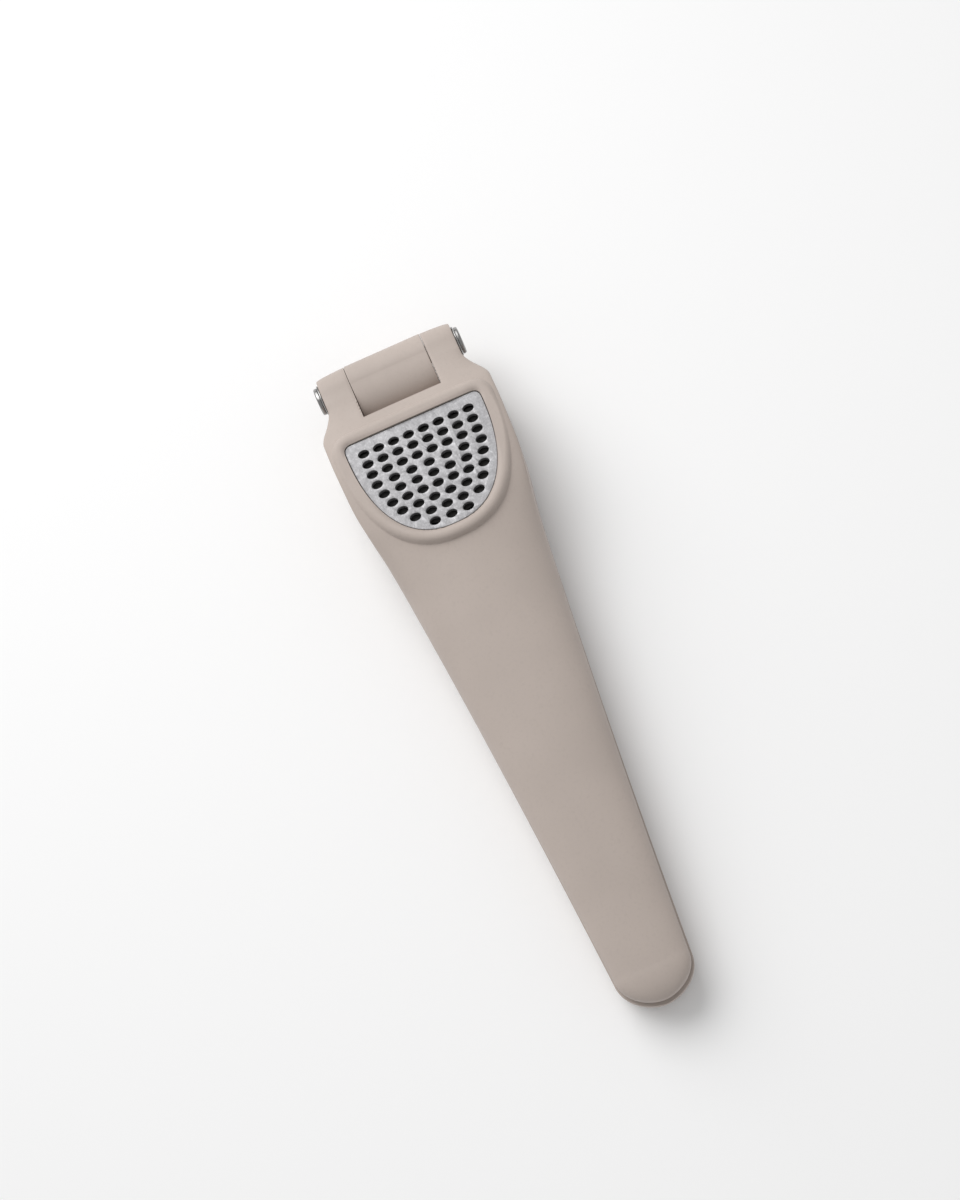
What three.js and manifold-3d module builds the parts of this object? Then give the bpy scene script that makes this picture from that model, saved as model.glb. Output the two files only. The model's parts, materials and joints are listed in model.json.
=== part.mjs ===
// A two-lever garlic press, closed. Millimetres, +Z up. +X runs from the hinge to the grips' tips,
// +Y is the press's left, and the press lies on the flat back of its presser lever.
// Shapes are worked out with the hinge axis as the origin; the last lines move the whole press so
// that its origin is under the middle of its bounding box.
import * as THREE from 'three';
import { ParametricGeometry } from 'three/addons/geometries/ParametricGeometry.js';
import { mergeVertices } from 'three/addons/utils/BufferGeometryUtils.js';
import Module from 'manifold-3d';

const wasm = await Module();
wasm.setup();

// ---- Driving dimensions ------------------------------------------------------------------
// Levers, seen from above
const GRIP_END_X = 175.1;          // hinge axis to the sieve lever's tip
const TIP_LENGTH = 8.6;            // length of the rounded tip
const TIP_FULLNESS = 1.1;          // 1 is an ellipse, more is more pointed
const GRIP_TIP_HALF_WIDTH = 9.9;   // where the rounded tip begins
const ROOT_NARROWING = 3.05;       // head's half-width less the grip's where it leaves the rim
const HEAD_SIDE_WALL = 4.25;       // rim's opening to the head's side
const GRIP_FLARE = 2.2;            // how far the grip's side is hollow between root and tip
const HEAD_FULLNESS = 0.75;        // extra half-width where the head runs into the grip
const FULLNESS_REACH = 9;          // how far that fullness spreads along the press
const FULLNESS_BACK = 15;          // and how far it lies behind the rim's tip
const SHOULDER_LENGTH = 9.4;       // stretch over which the ears widen into the head
const PRESSER_REVEAL = 0.9;        // how far the presser lever shows past the sieve lever's tip
// Levers, seen from the side
const HEAD_HEIGHT = 9.3;           // head's shoulder above the hinge axis
const EAR_DROP = 1.3;              // ears' top below the head's shoulder, at the slot's end
const GRIP_DROP = 0.6;             // grip's top below the head's shoulder, just past the rim
const GRIP_BULGE = 0.5;            // how far the grip's top rises above a straight line
const GRIP_TIP_HEIGHT = -1.2;      // top of the grip where the rounded tip begins
const RIM_PROUD = 1.3;             // rim above the head's shoulder
const PRESSER_THICKNESS = 8.1;
const LEVER_GAP = 0.4;             // between the closed levers
const WALL = 2.4;                  // moulded wall of both grips
// Levers, in section
const CROWN_EXPONENT = 2.6;        // 2 is an ellipse, more is squarer
const HEAD_EDGE = 2.4;             // rounding of the head's upper edge
const EDGE_GROWTH = 0.25;          // how fast that rounding grows from the hinge axis
const CROWN_BLEND = 11;            // half the stretch over which the head turns into the grip
const SIEVE_SIDE_SHARE = 0.45;     // upright side of the grip, as a share of its thickness
const PRESSER_SIDE_SHARE = 0.35;
const LAND_SHARE = 0.42;           // flat land on the presser's back, as a share of its width
// Hinge
const EAR_RADIUS = 5.8;
const EAR_THICKNESS = 7.9;
const BARREL_HALF_LENGTH = 10.45;
const SIDE_GAP = 0.35;             // barrel to ear, and the neck to the slot's end
const SLOT_LENGTH = 5.6;           // slot's end past the ears' radius
const CROSS_BAR = 6.1;             // slot's end to the rim's opening
const NECK_SWEEP = 3.2;            // how soon the neck's back bends up to the barrel
const NECK_TANGENT = 0.2;          // angle from the barrel's top at which the neck leaves it
const PRESSER_START_X = 7;         // presser lever's wide part begins here
const PIN_RADIUS = 2.5;
const RUNNING_GAP = 0.3;
const BUSH_WALL = 0.75;
const SLEEVE_WALL = 0.75;
const PIN_HEAD_OVERHANG = 1.15;
const PIN_HEAD_THICKNESS = 1.0;
const WASHER_OVERHANG = 0.4;       // washer past the pin's head
const WASHER_THICKNESS = 0.45;
const FACE_GAP = 0.1;              // between the flat faces of washers, heads and ears
const SCREW_LENGTH = 15;
const SOCKET_RADIUS = 1.4;
// Garlic chamber, a D whose flat side faces the hinge
const OPENING_LENGTH = 30.25;
const OPENING_HALF_WIDTH = 18.9;
const OPENING_CORNER = 2.3;
const SMALLEST_CORNER = 0.6;
const D_EXPONENT = 2.35;
const CHAMBER_DEPTH = 15.6;
const RIM_WIDTH = 3.2;
const RIM_ROUND = 1.4;
const FLOOR_RECESS = 0.9;          // sieve floor below the rim's top
const FLOOR_THICKNESS = 1.8;
const BASKET_GAP = 0.3;
const BASKET_WALL = 1.2;
const BASKET_EDGE = 0.5;
const FLANGE_WIDTH = 1.7;
const FLANGE_THICKNESS = 1.5;
// Sieve holes, row by row from the hinge
const HOLES_IN_ROW = [8, 8, 8, 7, 7, 7, 6, 5, 3];
const FIRST_ROW_INSET = 3.75;      // rim's opening to the first row
const LAST_ROW_INSET = 2.75;
const HOLE_HALF_WIDTH = 1.5;
const HOLE_HALF_LENGTH = 1.05;
const HOLE_SIDES = 12;
const HOLE_EDGE = 2.2;             // last hole's centre to the chamber wall, in the narrow rows
const WIDE_ROW_EDGE = 2.95;        // and in the wide rows
// Plunger
const PRESS_GAP = 0.5;             // plunger face to sieve floor when closed
const PLUNGER_HINGE_GAP = 1.2;
const PLUNGER_TIP_GAP = 0.8;
const PLUNGER_SIDE_GAP = 0.6;
const PLUNGER_BAND = 3.5;
const PLUNGER_HEIGHT = 7.0;
const PLUNGER_FACE = 2.4;
const PLUNGER_SKIRT_STEP = 1.2;
const PLUNGER_WALL = 2.0;
const PIVOT_INSET = 12.5;          // rim's opening to the plunger's pivot
const PIVOT_BELOW_FACE = 5.5;
const PIVOT_PIN_RADIUS = 1.5;
const PIVOT_BOSS_WALL = 1.3;
const LUG_HALF_WIDTH = 3.6;
const POST_THICKNESS = 3.0;
const POST_GAP = 0.5;
const POST_FOOT = 1.6;             // how much further the post's foot spreads to each side
// Grip covers and their screws
const COVER_MARGIN = 2.5;          // rim's tip to the cover
const COVER_TIP_REACH = 1.7;       // how far the cover runs into the rounded tip
const COVER_THICKNESS = 1.8;
const COVER_LEDGE = 1.2;           // lever's edge to the cover's edge
const COVER_GAP = 0.3;
const HOLLOW_MARGIN = 1.6;         // ledge that carries the cover at its two ends
const COVER_SCREW_INSET = 13;      // cover's end to the screw
const COVER_SCREW_RADIUS = 1.1;
const COVER_SCREW_HEAD_RADIUS = 2.4;
const COVER_SCREW_HEAD_HEIGHT = 1.2;
const SCREW_END_WALL = 2.4;        // lever's outer face to the screw's point
const CROSS_DEPTH = 0.6;
const CROSS_ARM = 0.55;
const BOSS_RADIUS = 3.0;
// Fineness
const CROWN_STEPS = 12;            // facets across a crown
const D_STEPS = 20;                // facets round the D
const LARGE_SIDES = 48;            // facets round barrel and ears
const PIN_SIDES = 36;              // round the hinge bolt and its washers
const SMALL_SIDES = 24;            // round screws, their bosses and the plunger's pin
const CUT = 1;                     // how far a cutting shape runs past what it cuts

// ---- Sizes that follow -------------------------------------------------------------------
const rimTop = HEAD_HEIGHT + RIM_PROUD;
const floorTop = rimTop - FLOOR_RECESS;
const chamberTop = floorTop - FLOOR_THICKNESS;
const mouth = chamberTop - CHAMBER_DEPTH;
const presserTop = mouth - LEVER_GAP;
const presserBack = presserTop - PRESSER_THICKNESS;
const slotEndX = EAR_RADIUS + SLOT_LENGTH;
const openingFlatX = slotEndX + CROSS_BAR;
const openingTipX = openingFlatX + OPENING_LENGTH;
const rimTipX = openingTipX + RIM_WIDTH;
const tipStartX = GRIP_END_X - TIP_LENGTH;
const headHalfWidth = OPENING_HALF_WIDTH + HEAD_SIDE_WALL;
const slotHalfWidth = BARREL_HALF_LENGTH + SIDE_GAP;
const earHalfSpan = slotHalfWidth + EAR_THICKNESS;
const gripRootHalfWidth = headHalfWidth - ROOT_NARROWING;
const shoulderEndX = openingFlatX - RIM_WIDTH;
const neckFaceX = slotEndX - SIDE_GAP;
const pinHoleRadius = PIN_RADIUS + RUNNING_GAP;
const bushRadius = pinHoleRadius + BUSH_WALL;
const screwRadius = PIN_RADIUS - SLEEVE_WALL - RUNNING_GAP;
const pinHeadRadius = PIN_RADIUS + PIN_HEAD_OVERHANG;
const washerFace = earHalfSpan + FACE_GAP;
const headFace = washerFace + WASHER_THICKNESS + FACE_GAP;
const headEnd = headFace + PIN_HEAD_THICKNESS;
const pivotX = openingFlatX + PIVOT_INSET;
const pivotZ = chamberTop - PRESS_GAP - PIVOT_BELOW_FACE;
const pivotHoleRadius = PIVOT_PIN_RADIUS + RUNNING_GAP;
const pivotBossRadius = pivotHoleRadius + PIVOT_BOSS_WALL;
const postInnerY = LUG_HALF_WIDTH + POST_GAP;
const postOuterY = postInnerY + POST_THICKNESS;
const coverStartX = rimTipX + COVER_MARGIN;
const coverEndX = tipStartX + COVER_TIP_REACH;

// ---- Solids ------------------------------------------------------------------------------
function solid(geometry) {
  const bare = geometry.clone();
  bare.deleteAttribute('normal');
  bare.deleteAttribute('uv');
  const merged = mergeVertices(bare, 1e-4);
  const corners = merged.index.array;
  const kept = [];
  for (let i = 0; i < corners.length; i += 3) {
    const [a, b, c] = [corners[i], corners[i + 1], corners[i + 2]];
    if (a !== b && b !== c && c !== a) kept.push(a, b, c);
  }
  return new wasm.Manifold(new wasm.Mesh({
    numProp: 3,
    vertProperties: new Float32Array(merged.attributes.position.array),
    triVerts: new Uint32Array(kept),
  }));
}

function geometryOf(manifold) {
  const mesh = manifold.getMesh();
  const geometry = new THREE.BufferGeometry();
  geometry.setAttribute('position', new THREE.BufferAttribute(mesh.vertProperties, mesh.numProp));
  geometry.setIndex(new THREE.BufferAttribute(mesh.triVerts, 1));
  geometry.computeVertexNormals();
  return geometry;
}

function joined(...parts) {
  return parts.reduce((sum, part) => sum.add(part));
}

function without(body, ...cuts) {
  return cuts.reduce((rest, cut) => rest.subtract(cut), body);
}

// A plan outline raised from one height to another, its top and bottom edges rounded by edge.
function raised(outline, low, high, edge = 0, steps = 3) {
  const geometry = new THREE.ExtrudeGeometry(outline, {
    depth: high - low - 2 * edge,
    steps: 1,
    curveSegments: 12,
    bevelEnabled: edge > 0,
    bevelThickness: edge,
    bevelSize: edge,
    bevelOffset: -edge,
    bevelSegments: steps,
  });
  return solid(geometry.translate(0, 0, low + edge));
}

// A side profile drawn in X and Z and run across the press from one Y to another.
function across(profile, right, left) {
  const geometry = new THREE.ExtrudeGeometry(profile, {
    depth: left - right,
    curveSegments: 16,
    bevelEnabled: false,
  });
  return solid(geometry.rotateX(Math.PI / 2).translate(0, left, 0));
}

// A round rod along Y.
function rod(radius, right, left, x = 0, z = 0, sides = PIN_SIDES) {
  const geometry = new THREE.CylinderGeometry(radius, radius, left - right, sides);
  return solid(geometry.translate(x, (left + right) / 2, z));
}

// A round rod on the plunger's pivot.
function pivotRod(radius, half) {
  return rod(radius, -half, half, pivotX, pivotZ, SMALL_SIDES);
}

// A round stud along Z.
function stud(radius, low, high, x, topRadius = radius) {
  const geometry = new THREE.CylinderGeometry(topRadius, radius, high - low, SMALL_SIDES);
  return solid(geometry.rotateX(Math.PI / 2).translate(x, 0, (low + high) / 2));
}

function block(size, centre) {
  return solid(new THREE.BoxGeometry(...size).translate(...centre));
}

// ---- Lever outlines ----------------------------------------------------------------------
// Half-width of a lever at x; extend is how much longer and wider its tip is than the sieve lever's.
function halfWidth(x, extend = 0) {
  const tipX = tipStartX + extend / 2;
  const share = (tipX - x) / (tipX - rimTipX);
  const widening = gripRootHalfWidth - GRIP_TIP_HALF_WIDTH - GRIP_FLARE - extend / 2;
  const grip = GRIP_TIP_HALF_WIDTH + extend / 2 + share * (widening + GRIP_FLARE * share);
  const fullness = HEAD_FULLNESS * Math.exp(-(((x - rimTipX + FULLNESS_BACK) / FULLNESS_REACH) ** 2));
  const widened = THREE.MathUtils.smoothstep(x, shoulderEndX - SHOULDER_LENGTH, shoulderEndX);
  const shoulder = THREE.MathUtils.lerp(earHalfSpan, headHalfWidth, widened);
  if (x <= tipX) return Math.min(shoulder, grip + fullness);
  return (GRIP_TIP_HALF_WIDTH + extend / 2) * tipShare(x, extend) ** TIP_FULLNESS;
}

// How full the rounded tip still is at x, from 1 where it begins to 0 at its end.
function tipShare(x, extend = 0) {
  const along = (x - tipStartX - extend / 2) / (TIP_LENGTH + extend / 2);
  return Math.sqrt(Math.max(0, 1 - Math.max(0, along) ** 2));
}

// Top of the sieve lever along its middle.
const topLine = new THREE.CubicInterpolant(
  [0, slotEndX, shoulderEndX, openingTipX, rimTipX, (rimTipX + tipStartX) / 2, tipStartX],
  [EAR_RADIUS, HEAD_HEIGHT - EAR_DROP, HEAD_HEIGHT, HEAD_HEIGHT - GRIP_DROP / 2, HEAD_HEIGHT - GRIP_DROP,
    (HEAD_HEIGHT - GRIP_DROP + GRIP_TIP_HEIGHT) / 2 + GRIP_BULGE, GRIP_TIP_HEIGHT],
  1,
  new Float32Array(1),
);

function topHeight(x) {
  return topLine.evaluate(Math.min(x, tipStartX))[0];
}

// Underside of the sieve lever: it drops from the ears to the chamber's mouth.
function sieveUnderside(x) {
  return THREE.MathUtils.lerp(-EAR_RADIUS, mouth, Math.min(1, x / slotEndX));
}

// Height at which the sieve lever's side wall turns into its crown.
function shoulderHeight(x) {
  const low = sieveUnderside(x);
  const top = topHeight(x);
  const boxy = top - Math.min(HEAD_EDGE, EDGE_GROWTH * x);
  const domed = low + SIEVE_SIDE_SHARE * (top - low);
  const alongGrip = THREE.MathUtils.smoothstep(x, rimTipX - CROWN_BLEND, rimTipX + CROWN_BLEND);
  return THREE.MathUtils.lerp(boxy, domed, alongGrip);
}

// A body lofted along X. Each section has a flat base, upright sides and a crown; crown heights may
// lie above or below the base, and land is the half-width of the crown's flat middle.
function lofted(stations, sectionAt) {
  const slices = CROWN_STEPS + 4;
  const ends = [stations[0], ...stations, stations[stations.length - 1]];
  const up = sectionAt(stations[0]).crown > sectionAt(stations[0]).base;
  const surface = (u, v, target) => {
    const row = Math.round(v * (ends.length - 1));
    const x = ends[row];
    const { width, base, shoulder, crown, land = 0 } = sectionAt(x);
    const corner = Math.round((up ? u : 1 - u) * slices) % slices;
    if (row === 0 || row === ends.length - 1) {
      target.set(x, 0, (base + crown) / 2);
    } else if (corner < 2) {
      target.set(x, corner === 0 ? -width : width, base);
    } else {
      const side = corner - 2 <= CROWN_STEPS / 2 ? 1 : -1;
      const turn = (Math.PI * (corner - (side > 0 ? 2 : 3))) / CROWN_STEPS;
      const out = Math.abs(Math.cos(turn)) ** (2 / CROWN_EXPONENT);
      const rise = Math.max(0, Math.sin(turn)) ** (2 / CROWN_EXPONENT);
      target.set(x, side * (land + (width - land) * out), shoulder + (crown - shoulder) * rise);
    }
  };
  return solid(new ParametricGeometry(surface, slices, ends.length - 1));
}

// Places along a lever where sections are taken: close together where the outline bends.
function stationsAlong(fromX, toX, extend = 0) {
  const tipX = tipStartX + extend / 2;
  const tipSteps = 6;
  const places = [
    ...evenly(0, slotEndX, 4),
    ...evenly(slotEndX, shoulderEndX, 2),
    ...evenly(shoulderEndX, rimTipX + CROWN_BLEND, 7),
    ...evenly(rimTipX + CROWN_BLEND, tipX, 7),
  ];
  for (let i = 0; i <= tipSteps; i += 1) {
    const turn = (i * Math.PI) / (2 * tipSteps);
    places.push(tipX + (GRIP_END_X + extend - tipX) * Math.sin(turn));
  }
  const spacing = 0.5;
  const inner = places.filter((x) => x > fromX + spacing && x < toX - spacing);
  return [fromX, ...inner, toX];
}

function evenly(from, to, parts) {
  return Array.from({ length: parts }, (unused, i) => from + ((to - from) * i) / parts);
}

// ---- D-shaped outlines -------------------------------------------------------------------
// Half-width of the D at x; inset shrinks it evenly from the rim's opening.
function dHalfWidth(x, inset) {
  const centreX = openingFlatX + OPENING_CORNER;
  const along = Math.max(0, x - centreX) / (openingTipX - inset - centreX);
  return (OPENING_HALF_WIDTH - inset) * Math.max(0, 1 - along ** D_EXPONENT) ** (1 / D_EXPONENT);
}

function dOutline(inset, flatInset = inset, tipInset = inset) {
  const flatX = openingFlatX + flatInset;
  const half = OPENING_HALF_WIDTH - inset;
  const corner = Math.max(SMALLEST_CORNER, OPENING_CORNER - inset / 2);
  const startX = flatX + corner;
  const reach = openingTipX - tipInset - startX;
  const outline = new THREE.Shape();
  outline.moveTo(flatX, -half + corner);
  outline.quadraticCurveTo(flatX, -half, startX, -half);
  for (let i = 1; i < D_STEPS; i += 1) {
    const turn = (Math.PI * i) / D_STEPS - Math.PI / 2;
    const out = Math.cos(turn) ** (2 / D_EXPONENT);
    const side = Math.sign(turn) * Math.abs(Math.sin(turn)) ** (2 / D_EXPONENT);
    outline.lineTo(startX + reach * out, half * side);
  }
  outline.lineTo(startX, half);
  outline.quadraticCurveTo(flatX, half, flatX, half - corner);
  return outline;
}

// ---- Sieve lever -------------------------------------------------------------------------
function sieveSection(x, inset = 0) {
  const tip = tipShare(x);
  const base = sieveUnderside(x);
  const shoulder = shoulderHeight(Math.min(x, tipStartX));
  const crown = topHeight(x) - inset;
  return {
    width: Math.max(0, halfWidth(x) - inset),
    base: inset > 0 ? base - CUT : base,
    shoulder: shoulder - inset / 2,
    crown: shoulder + (crown - shoulder) * tip,
  };
}

// The recess or the body of a grip cover, between two heights.
function coverPlate(low, high, grow, extend) {
  const section = (x) => ({
    width: halfWidth(x, extend) - COVER_LEDGE + grow,
    base: low,
    shoulder: high,
    crown: high,
  });
  return lofted(stationsAlong(coverStartX - grow, coverEndX + grow, extend), section);
}

function hollowStations() {
  return stationsAlong(coverStartX + HOLLOW_MARGIN, coverEndX - HOLLOW_MARGIN);
}

const coverScrewPlaces = {
  front: coverStartX + COVER_SCREW_INSET,
  rear: coverEndX - COVER_SCREW_INSET,
};
const sieveThickness = topHeight(coverScrewPlaces.rear) - mouth;
const coverScrewLength = Math.min(PRESSER_THICKNESS, sieveThickness) - SCREW_END_WALL;

function ear(side) {
  const inner = side * slotHalfWidth;
  const outer = side * earHalfSpan;
  return rod(EAR_RADIUS, Math.min(inner, outer), Math.max(inner, outer), 0, 0, LARGE_SIDES);
}

function sieveLever() {
  const blank = lofted(stationsAlong(0, GRIP_END_X), (x) => sieveSection(x));
  const slot = block([2 * slotEndX, 2 * slotHalfWidth, 4 * rimTop], [0, 0, 0]);
  const rim = raised(dOutline(-RIM_WIDTH), mouth + RIM_ROUND, rimTop, RIM_ROUND);
  const opening = raised(dOutline(0), mouth - CUT, rimTop + CUT);
  const flangeSeat = raised(dOutline(-FLANGE_WIDTH), mouth - CUT, mouth + FLANGE_THICKNESS + BASKET_GAP);
  const hollow = lofted(hollowStations(), (x) => sieveSection(x, WALL));
  const seatRoof = mouth + COVER_THICKNESS + COVER_GAP;
  const coverSeat = coverPlate(mouth - CUT, seatRoof, COVER_GAP, 0);
  const pinHole = rod(pinHoleRadius, -earHalfSpan - CUT, earHalfSpan + CUT);
  let lever = joined(without(blank, slot), ear(1), ear(-1), rim);
  lever = without(lever, opening, flangeSeat, pinHole);
  let room = joined(hollow, coverSeat);
  for (const x of Object.values(coverScrewPlaces)) {
    room = room.subtract(stud(BOSS_RADIUS, seatRoof, rimTop, x));
  }
  lever = lever.subtract(room);
  for (const x of Object.values(coverScrewPlaces)) {
    const end = mouth + coverScrewLength + COVER_GAP;
    lever = lever.subtract(stud(COVER_SCREW_RADIUS + COVER_GAP, mouth, end, x));
  }
  return lever;
}

// ---- Sieve basket ------------------------------------------------------------------------
function ovalHole(x, y) {
  const outline = new THREE.Shape();
  outline.absellipse(x, y, HOLE_HALF_LENGTH, HOLE_HALF_WIDTH, 0, 2 * Math.PI, false, 0);
  const points = outline.getPoints(HOLE_SIDES / 2);
  points.pop();
  return raised(new THREE.Shape(points), chamberTop - CUT, floorTop + CUT);
}

function sieveBasket() {
  const outer = BASKET_GAP;
  const inner = BASKET_GAP + BASKET_WALL;
  const cup = raised(dOutline(outer), mouth, floorTop, BASKET_EDGE, 1);
  const flange = raised(dOutline(-FLANGE_WIDTH + BASKET_GAP), mouth, mouth + FLANGE_THICKNESS);
  const chamber = raised(dOutline(inner), mouth - CUT, chamberTop);
  const firstX = openingFlatX + FIRST_ROW_INSET;
  const pitch = (openingTipX - LAST_ROW_INSET - firstX) / (HOLES_IN_ROW.length - 1);
  const holes = [];
  HOLES_IN_ROW.forEach((count, row) => {
    const x = firstX + row * pitch;
    const half = Math.min(OPENING_HALF_WIDTH - inner - WIDE_ROW_EDGE, dHalfWidth(x, inner) - HOLE_EDGE);
    for (let i = 0; i < count; i += 1) holes.push(ovalHole(x, half * ((2 * i) / (count - 1) - 1)));
  });
  return without(joined(cup, flange), chamber, ...holes);
}

// ---- Presser lever -----------------------------------------------------------------------
function presserSection(x, inset = 0) {
  const tip = tipShare(x, PRESSER_REVEAL);
  const width = Math.max(0, halfWidth(x, PRESSER_REVEAL) - inset);
  const shoulder = presserTop - PRESSER_SIDE_SHARE * PRESSER_THICKNESS;
  return {
    width,
    base: inset > 0 ? presserTop + CUT : presserTop,
    shoulder: shoulder + inset / 2,
    crown: shoulder + (presserBack + inset - shoulder) * tip,
    land: LAND_SHARE * width,
  };
}

// The neck bends from the barrel down under the sieve lever's slot.
function neckProfile() {
  const profile = new THREE.Shape();
  profile.moveTo(-EAR_RADIUS, 0);
  profile.quadraticCurveTo(-EAR_RADIUS, presserBack, neckFaceX - NECK_SWEEP, presserBack);
  profile.lineTo(shoulderEndX, presserBack);
  profile.lineTo(shoulderEndX, presserTop);
  profile.lineTo(neckFaceX, presserTop);
  profile.lineTo(neckFaceX, -EAR_RADIUS / 2);
  const leaveX = EAR_RADIUS * Math.sin(NECK_TANGENT);
  const leaveZ = EAR_RADIUS * Math.cos(NECK_TANGENT);
  profile.quadraticCurveTo(neckFaceX, EAR_RADIUS, leaveX, leaveZ);
  profile.lineTo(0, 0);
  return profile;
}

function postProfile() {
  const profile = new THREE.Shape();
  const foot = presserTop - CUT;
  profile.moveTo(pivotX - pivotBossRadius - POST_FOOT, foot);
  profile.lineTo(pivotX + pivotBossRadius + POST_FOOT, foot);
  profile.lineTo(pivotX + pivotBossRadius, pivotZ);
  profile.absarc(pivotX, pivotZ, pivotBossRadius, 0, Math.PI, false);
  return profile;
}

function presserLever() {
  const blank = lofted(
    stationsAlong(PRESSER_START_X, GRIP_END_X + PRESSER_REVEAL, PRESSER_REVEAL),
    (x) => presserSection(x),
  );
  const barrel = rod(EAR_RADIUS, -BARREL_HALF_LENGTH, BARREL_HALF_LENGTH, 0, 0, LARGE_SIDES);
  const neck = across(neckProfile(), -BARREL_HALF_LENGTH, BARREL_HALF_LENGTH);
  const posts = joined(
    across(postProfile(), postInnerY, postOuterY),
    across(postProfile(), -postOuterY, -postInnerY),
  );
  const hollow = lofted(hollowStations(), (x) => presserSection(x, WALL));
  const seatFloor = presserTop - COVER_THICKNESS - COVER_GAP;
  const coverSeat = coverPlate(presserTop + CUT, seatFloor, COVER_GAP, PRESSER_REVEAL);
  let room = joined(hollow, coverSeat);
  for (const x of Object.values(coverScrewPlaces)) {
    room = room.subtract(stud(BOSS_RADIUS, presserBack, seatFloor, x));
  }
  let lever = joined(blank, barrel, neck, posts).subtract(room);
  for (const x of Object.values(coverScrewPlaces)) {
    const end = presserTop - coverScrewLength - COVER_GAP;
    lever = lever.subtract(stud(COVER_SCREW_RADIUS + COVER_GAP, end, presserTop, x));
  }
  const bushHole = rod(bushRadius + RUNNING_GAP, -BARREL_HALF_LENGTH - CUT, BARREL_HALF_LENGTH + CUT);
  const pivotHole = pivotRod(pivotHoleRadius, postOuterY + CUT);
  return without(lever, bushHole, pivotHole);
}

// ---- Plunger -----------------------------------------------------------------------------
function plunger() {
  const face = chamberTop - PRESS_GAP;
  const chamberInset = BASKET_GAP + BASKET_WALL;
  const outline = (step) => dOutline(
    chamberInset + PLUNGER_SIDE_GAP + step,
    chamberInset + PLUNGER_HINGE_GAP + step,
    chamberInset + PLUNGER_TIP_GAP + step,
  );
  const band = raised(outline(0), face - PLUNGER_BAND, face);
  const skirt = raised(outline(PLUNGER_SKIRT_STEP), face - PLUNGER_HEIGHT, face - PLUNGER_BAND);
  const cavity = raised(
    outline(PLUNGER_SKIRT_STEP + PLUNGER_WALL),
    face - PLUNGER_HEIGHT - CUT,
    face - PLUNGER_FACE,
  );
  const lug = across(lugProfile(face - PLUNGER_FACE / 2), -LUG_HALF_WIDTH, LUG_HALF_WIDTH);
  const pivotHole = pivotRod(pivotHoleRadius, LUG_HALF_WIDTH + CUT);
  return joined(band, skirt).subtract(cavity).add(lug).subtract(pivotHole);
}

function lugProfile(top) {
  const profile = new THREE.Shape();
  profile.moveTo(pivotX + pivotBossRadius + POST_FOOT, top);
  profile.lineTo(pivotX - pivotBossRadius - POST_FOOT, top);
  profile.lineTo(pivotX - pivotBossRadius, pivotZ);
  profile.absarc(pivotX, pivotZ, pivotBossRadius, Math.PI, 2 * Math.PI, false);
  return profile;
}

function plungerPin() {
  return pivotRod(PIVOT_PIN_RADIUS, postOuterY);
}

// ---- Hinge -------------------------------------------------------------------------------
function barrelBush() {
  const half = BARREL_HALF_LENGTH - FACE_GAP;
  return without(rod(bushRadius, -half, half), rod(pinHoleRadius, -half - CUT, half + CUT));
}

// The sleeve half of the hinge bolt: a headed tube from the right ear through to the left one.
function hingeSleeve() {
  const body = rod(PIN_RADIUS, -headFace - PIN_HEAD_THICKNESS / 2, earHalfSpan - FACE_GAP);
  const head = pinHead(-1);
  const boreEnd = earHalfSpan - SCREW_LENGTH - CUT;
  const bore = rod(screwRadius + RUNNING_GAP, boreEnd, earHalfSpan + CUT, 0, 0, SMALL_SIDES);
  return without(joined(body, head), bore);
}

// A round head with a softened outer edge, on the side that side names.
function pinHead(side) {
  const edge = PIN_HEAD_THICKNESS / 3;
  const profile = [
    new THREE.Vector2(0, headFace),
    new THREE.Vector2(pinHeadRadius, headFace),
    new THREE.Vector2(pinHeadRadius, headEnd - edge),
    new THREE.Vector2(pinHeadRadius - edge, headEnd),
    new THREE.Vector2(0, headEnd),
  ];
  const geometry = new THREE.LatheGeometry(profile, PIN_SIDES);
  if (side < 0) geometry.rotateX(Math.PI);
  return solid(geometry);
}

function hingeScrew() {
  const shankEnd = headFace + PIN_HEAD_THICKNESS / 4;
  const shank = rod(screwRadius, earHalfSpan - SCREW_LENGTH, shankEnd, 0, 0, SMALL_SIDES);
  const socket = rod(SOCKET_RADIUS, headEnd - 0.7 * PIN_HEAD_THICKNESS, headEnd + CUT, 0, 0, 6);
  return without(joined(shank, pinHead(1)), socket);
}

function washer(side) {
  const near = Math.min(side * washerFace, side * (washerFace + WASHER_THICKNESS));
  const far = near + WASHER_THICKNESS;
  return without(rod(pinHeadRadius + WASHER_OVERHANG, near, far), rod(pinHoleRadius, near - CUT, far + CUT));
}

// ---- Grip covers and screws --------------------------------------------------------------
// A screw through a cover; up is 1 where it is driven upwards and -1 where it is driven down.
function coverScrew(x, headZ, up) {
  const profile = [
    new THREE.Vector2(0, 0),
    new THREE.Vector2(COVER_SCREW_HEAD_RADIUS, 0),
    new THREE.Vector2(COVER_SCREW_RADIUS, COVER_SCREW_HEAD_HEIGHT),
    new THREE.Vector2(COVER_SCREW_RADIUS, coverScrewLength - 1),
    new THREE.Vector2(0, coverScrewLength),
  ];
  const screw = solid(new THREE.LatheGeometry(profile, SMALL_SIDES).rotateX(Math.PI / 2));
  const span = COVER_SCREW_HEAD_RADIUS + CROSS_ARM;
  const cross = joined(
    block([span, CROSS_ARM, 2 * CROSS_DEPTH], [0, 0, 0]),
    block([CROSS_ARM, span, 2 * CROSS_DEPTH], [0, 0, 0]),
  );
  const cut = without(screw, cross);
  return (up > 0 ? cut : cut.rotate([180, 0, 0])).translate([x, 0, headZ]);
}

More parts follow.
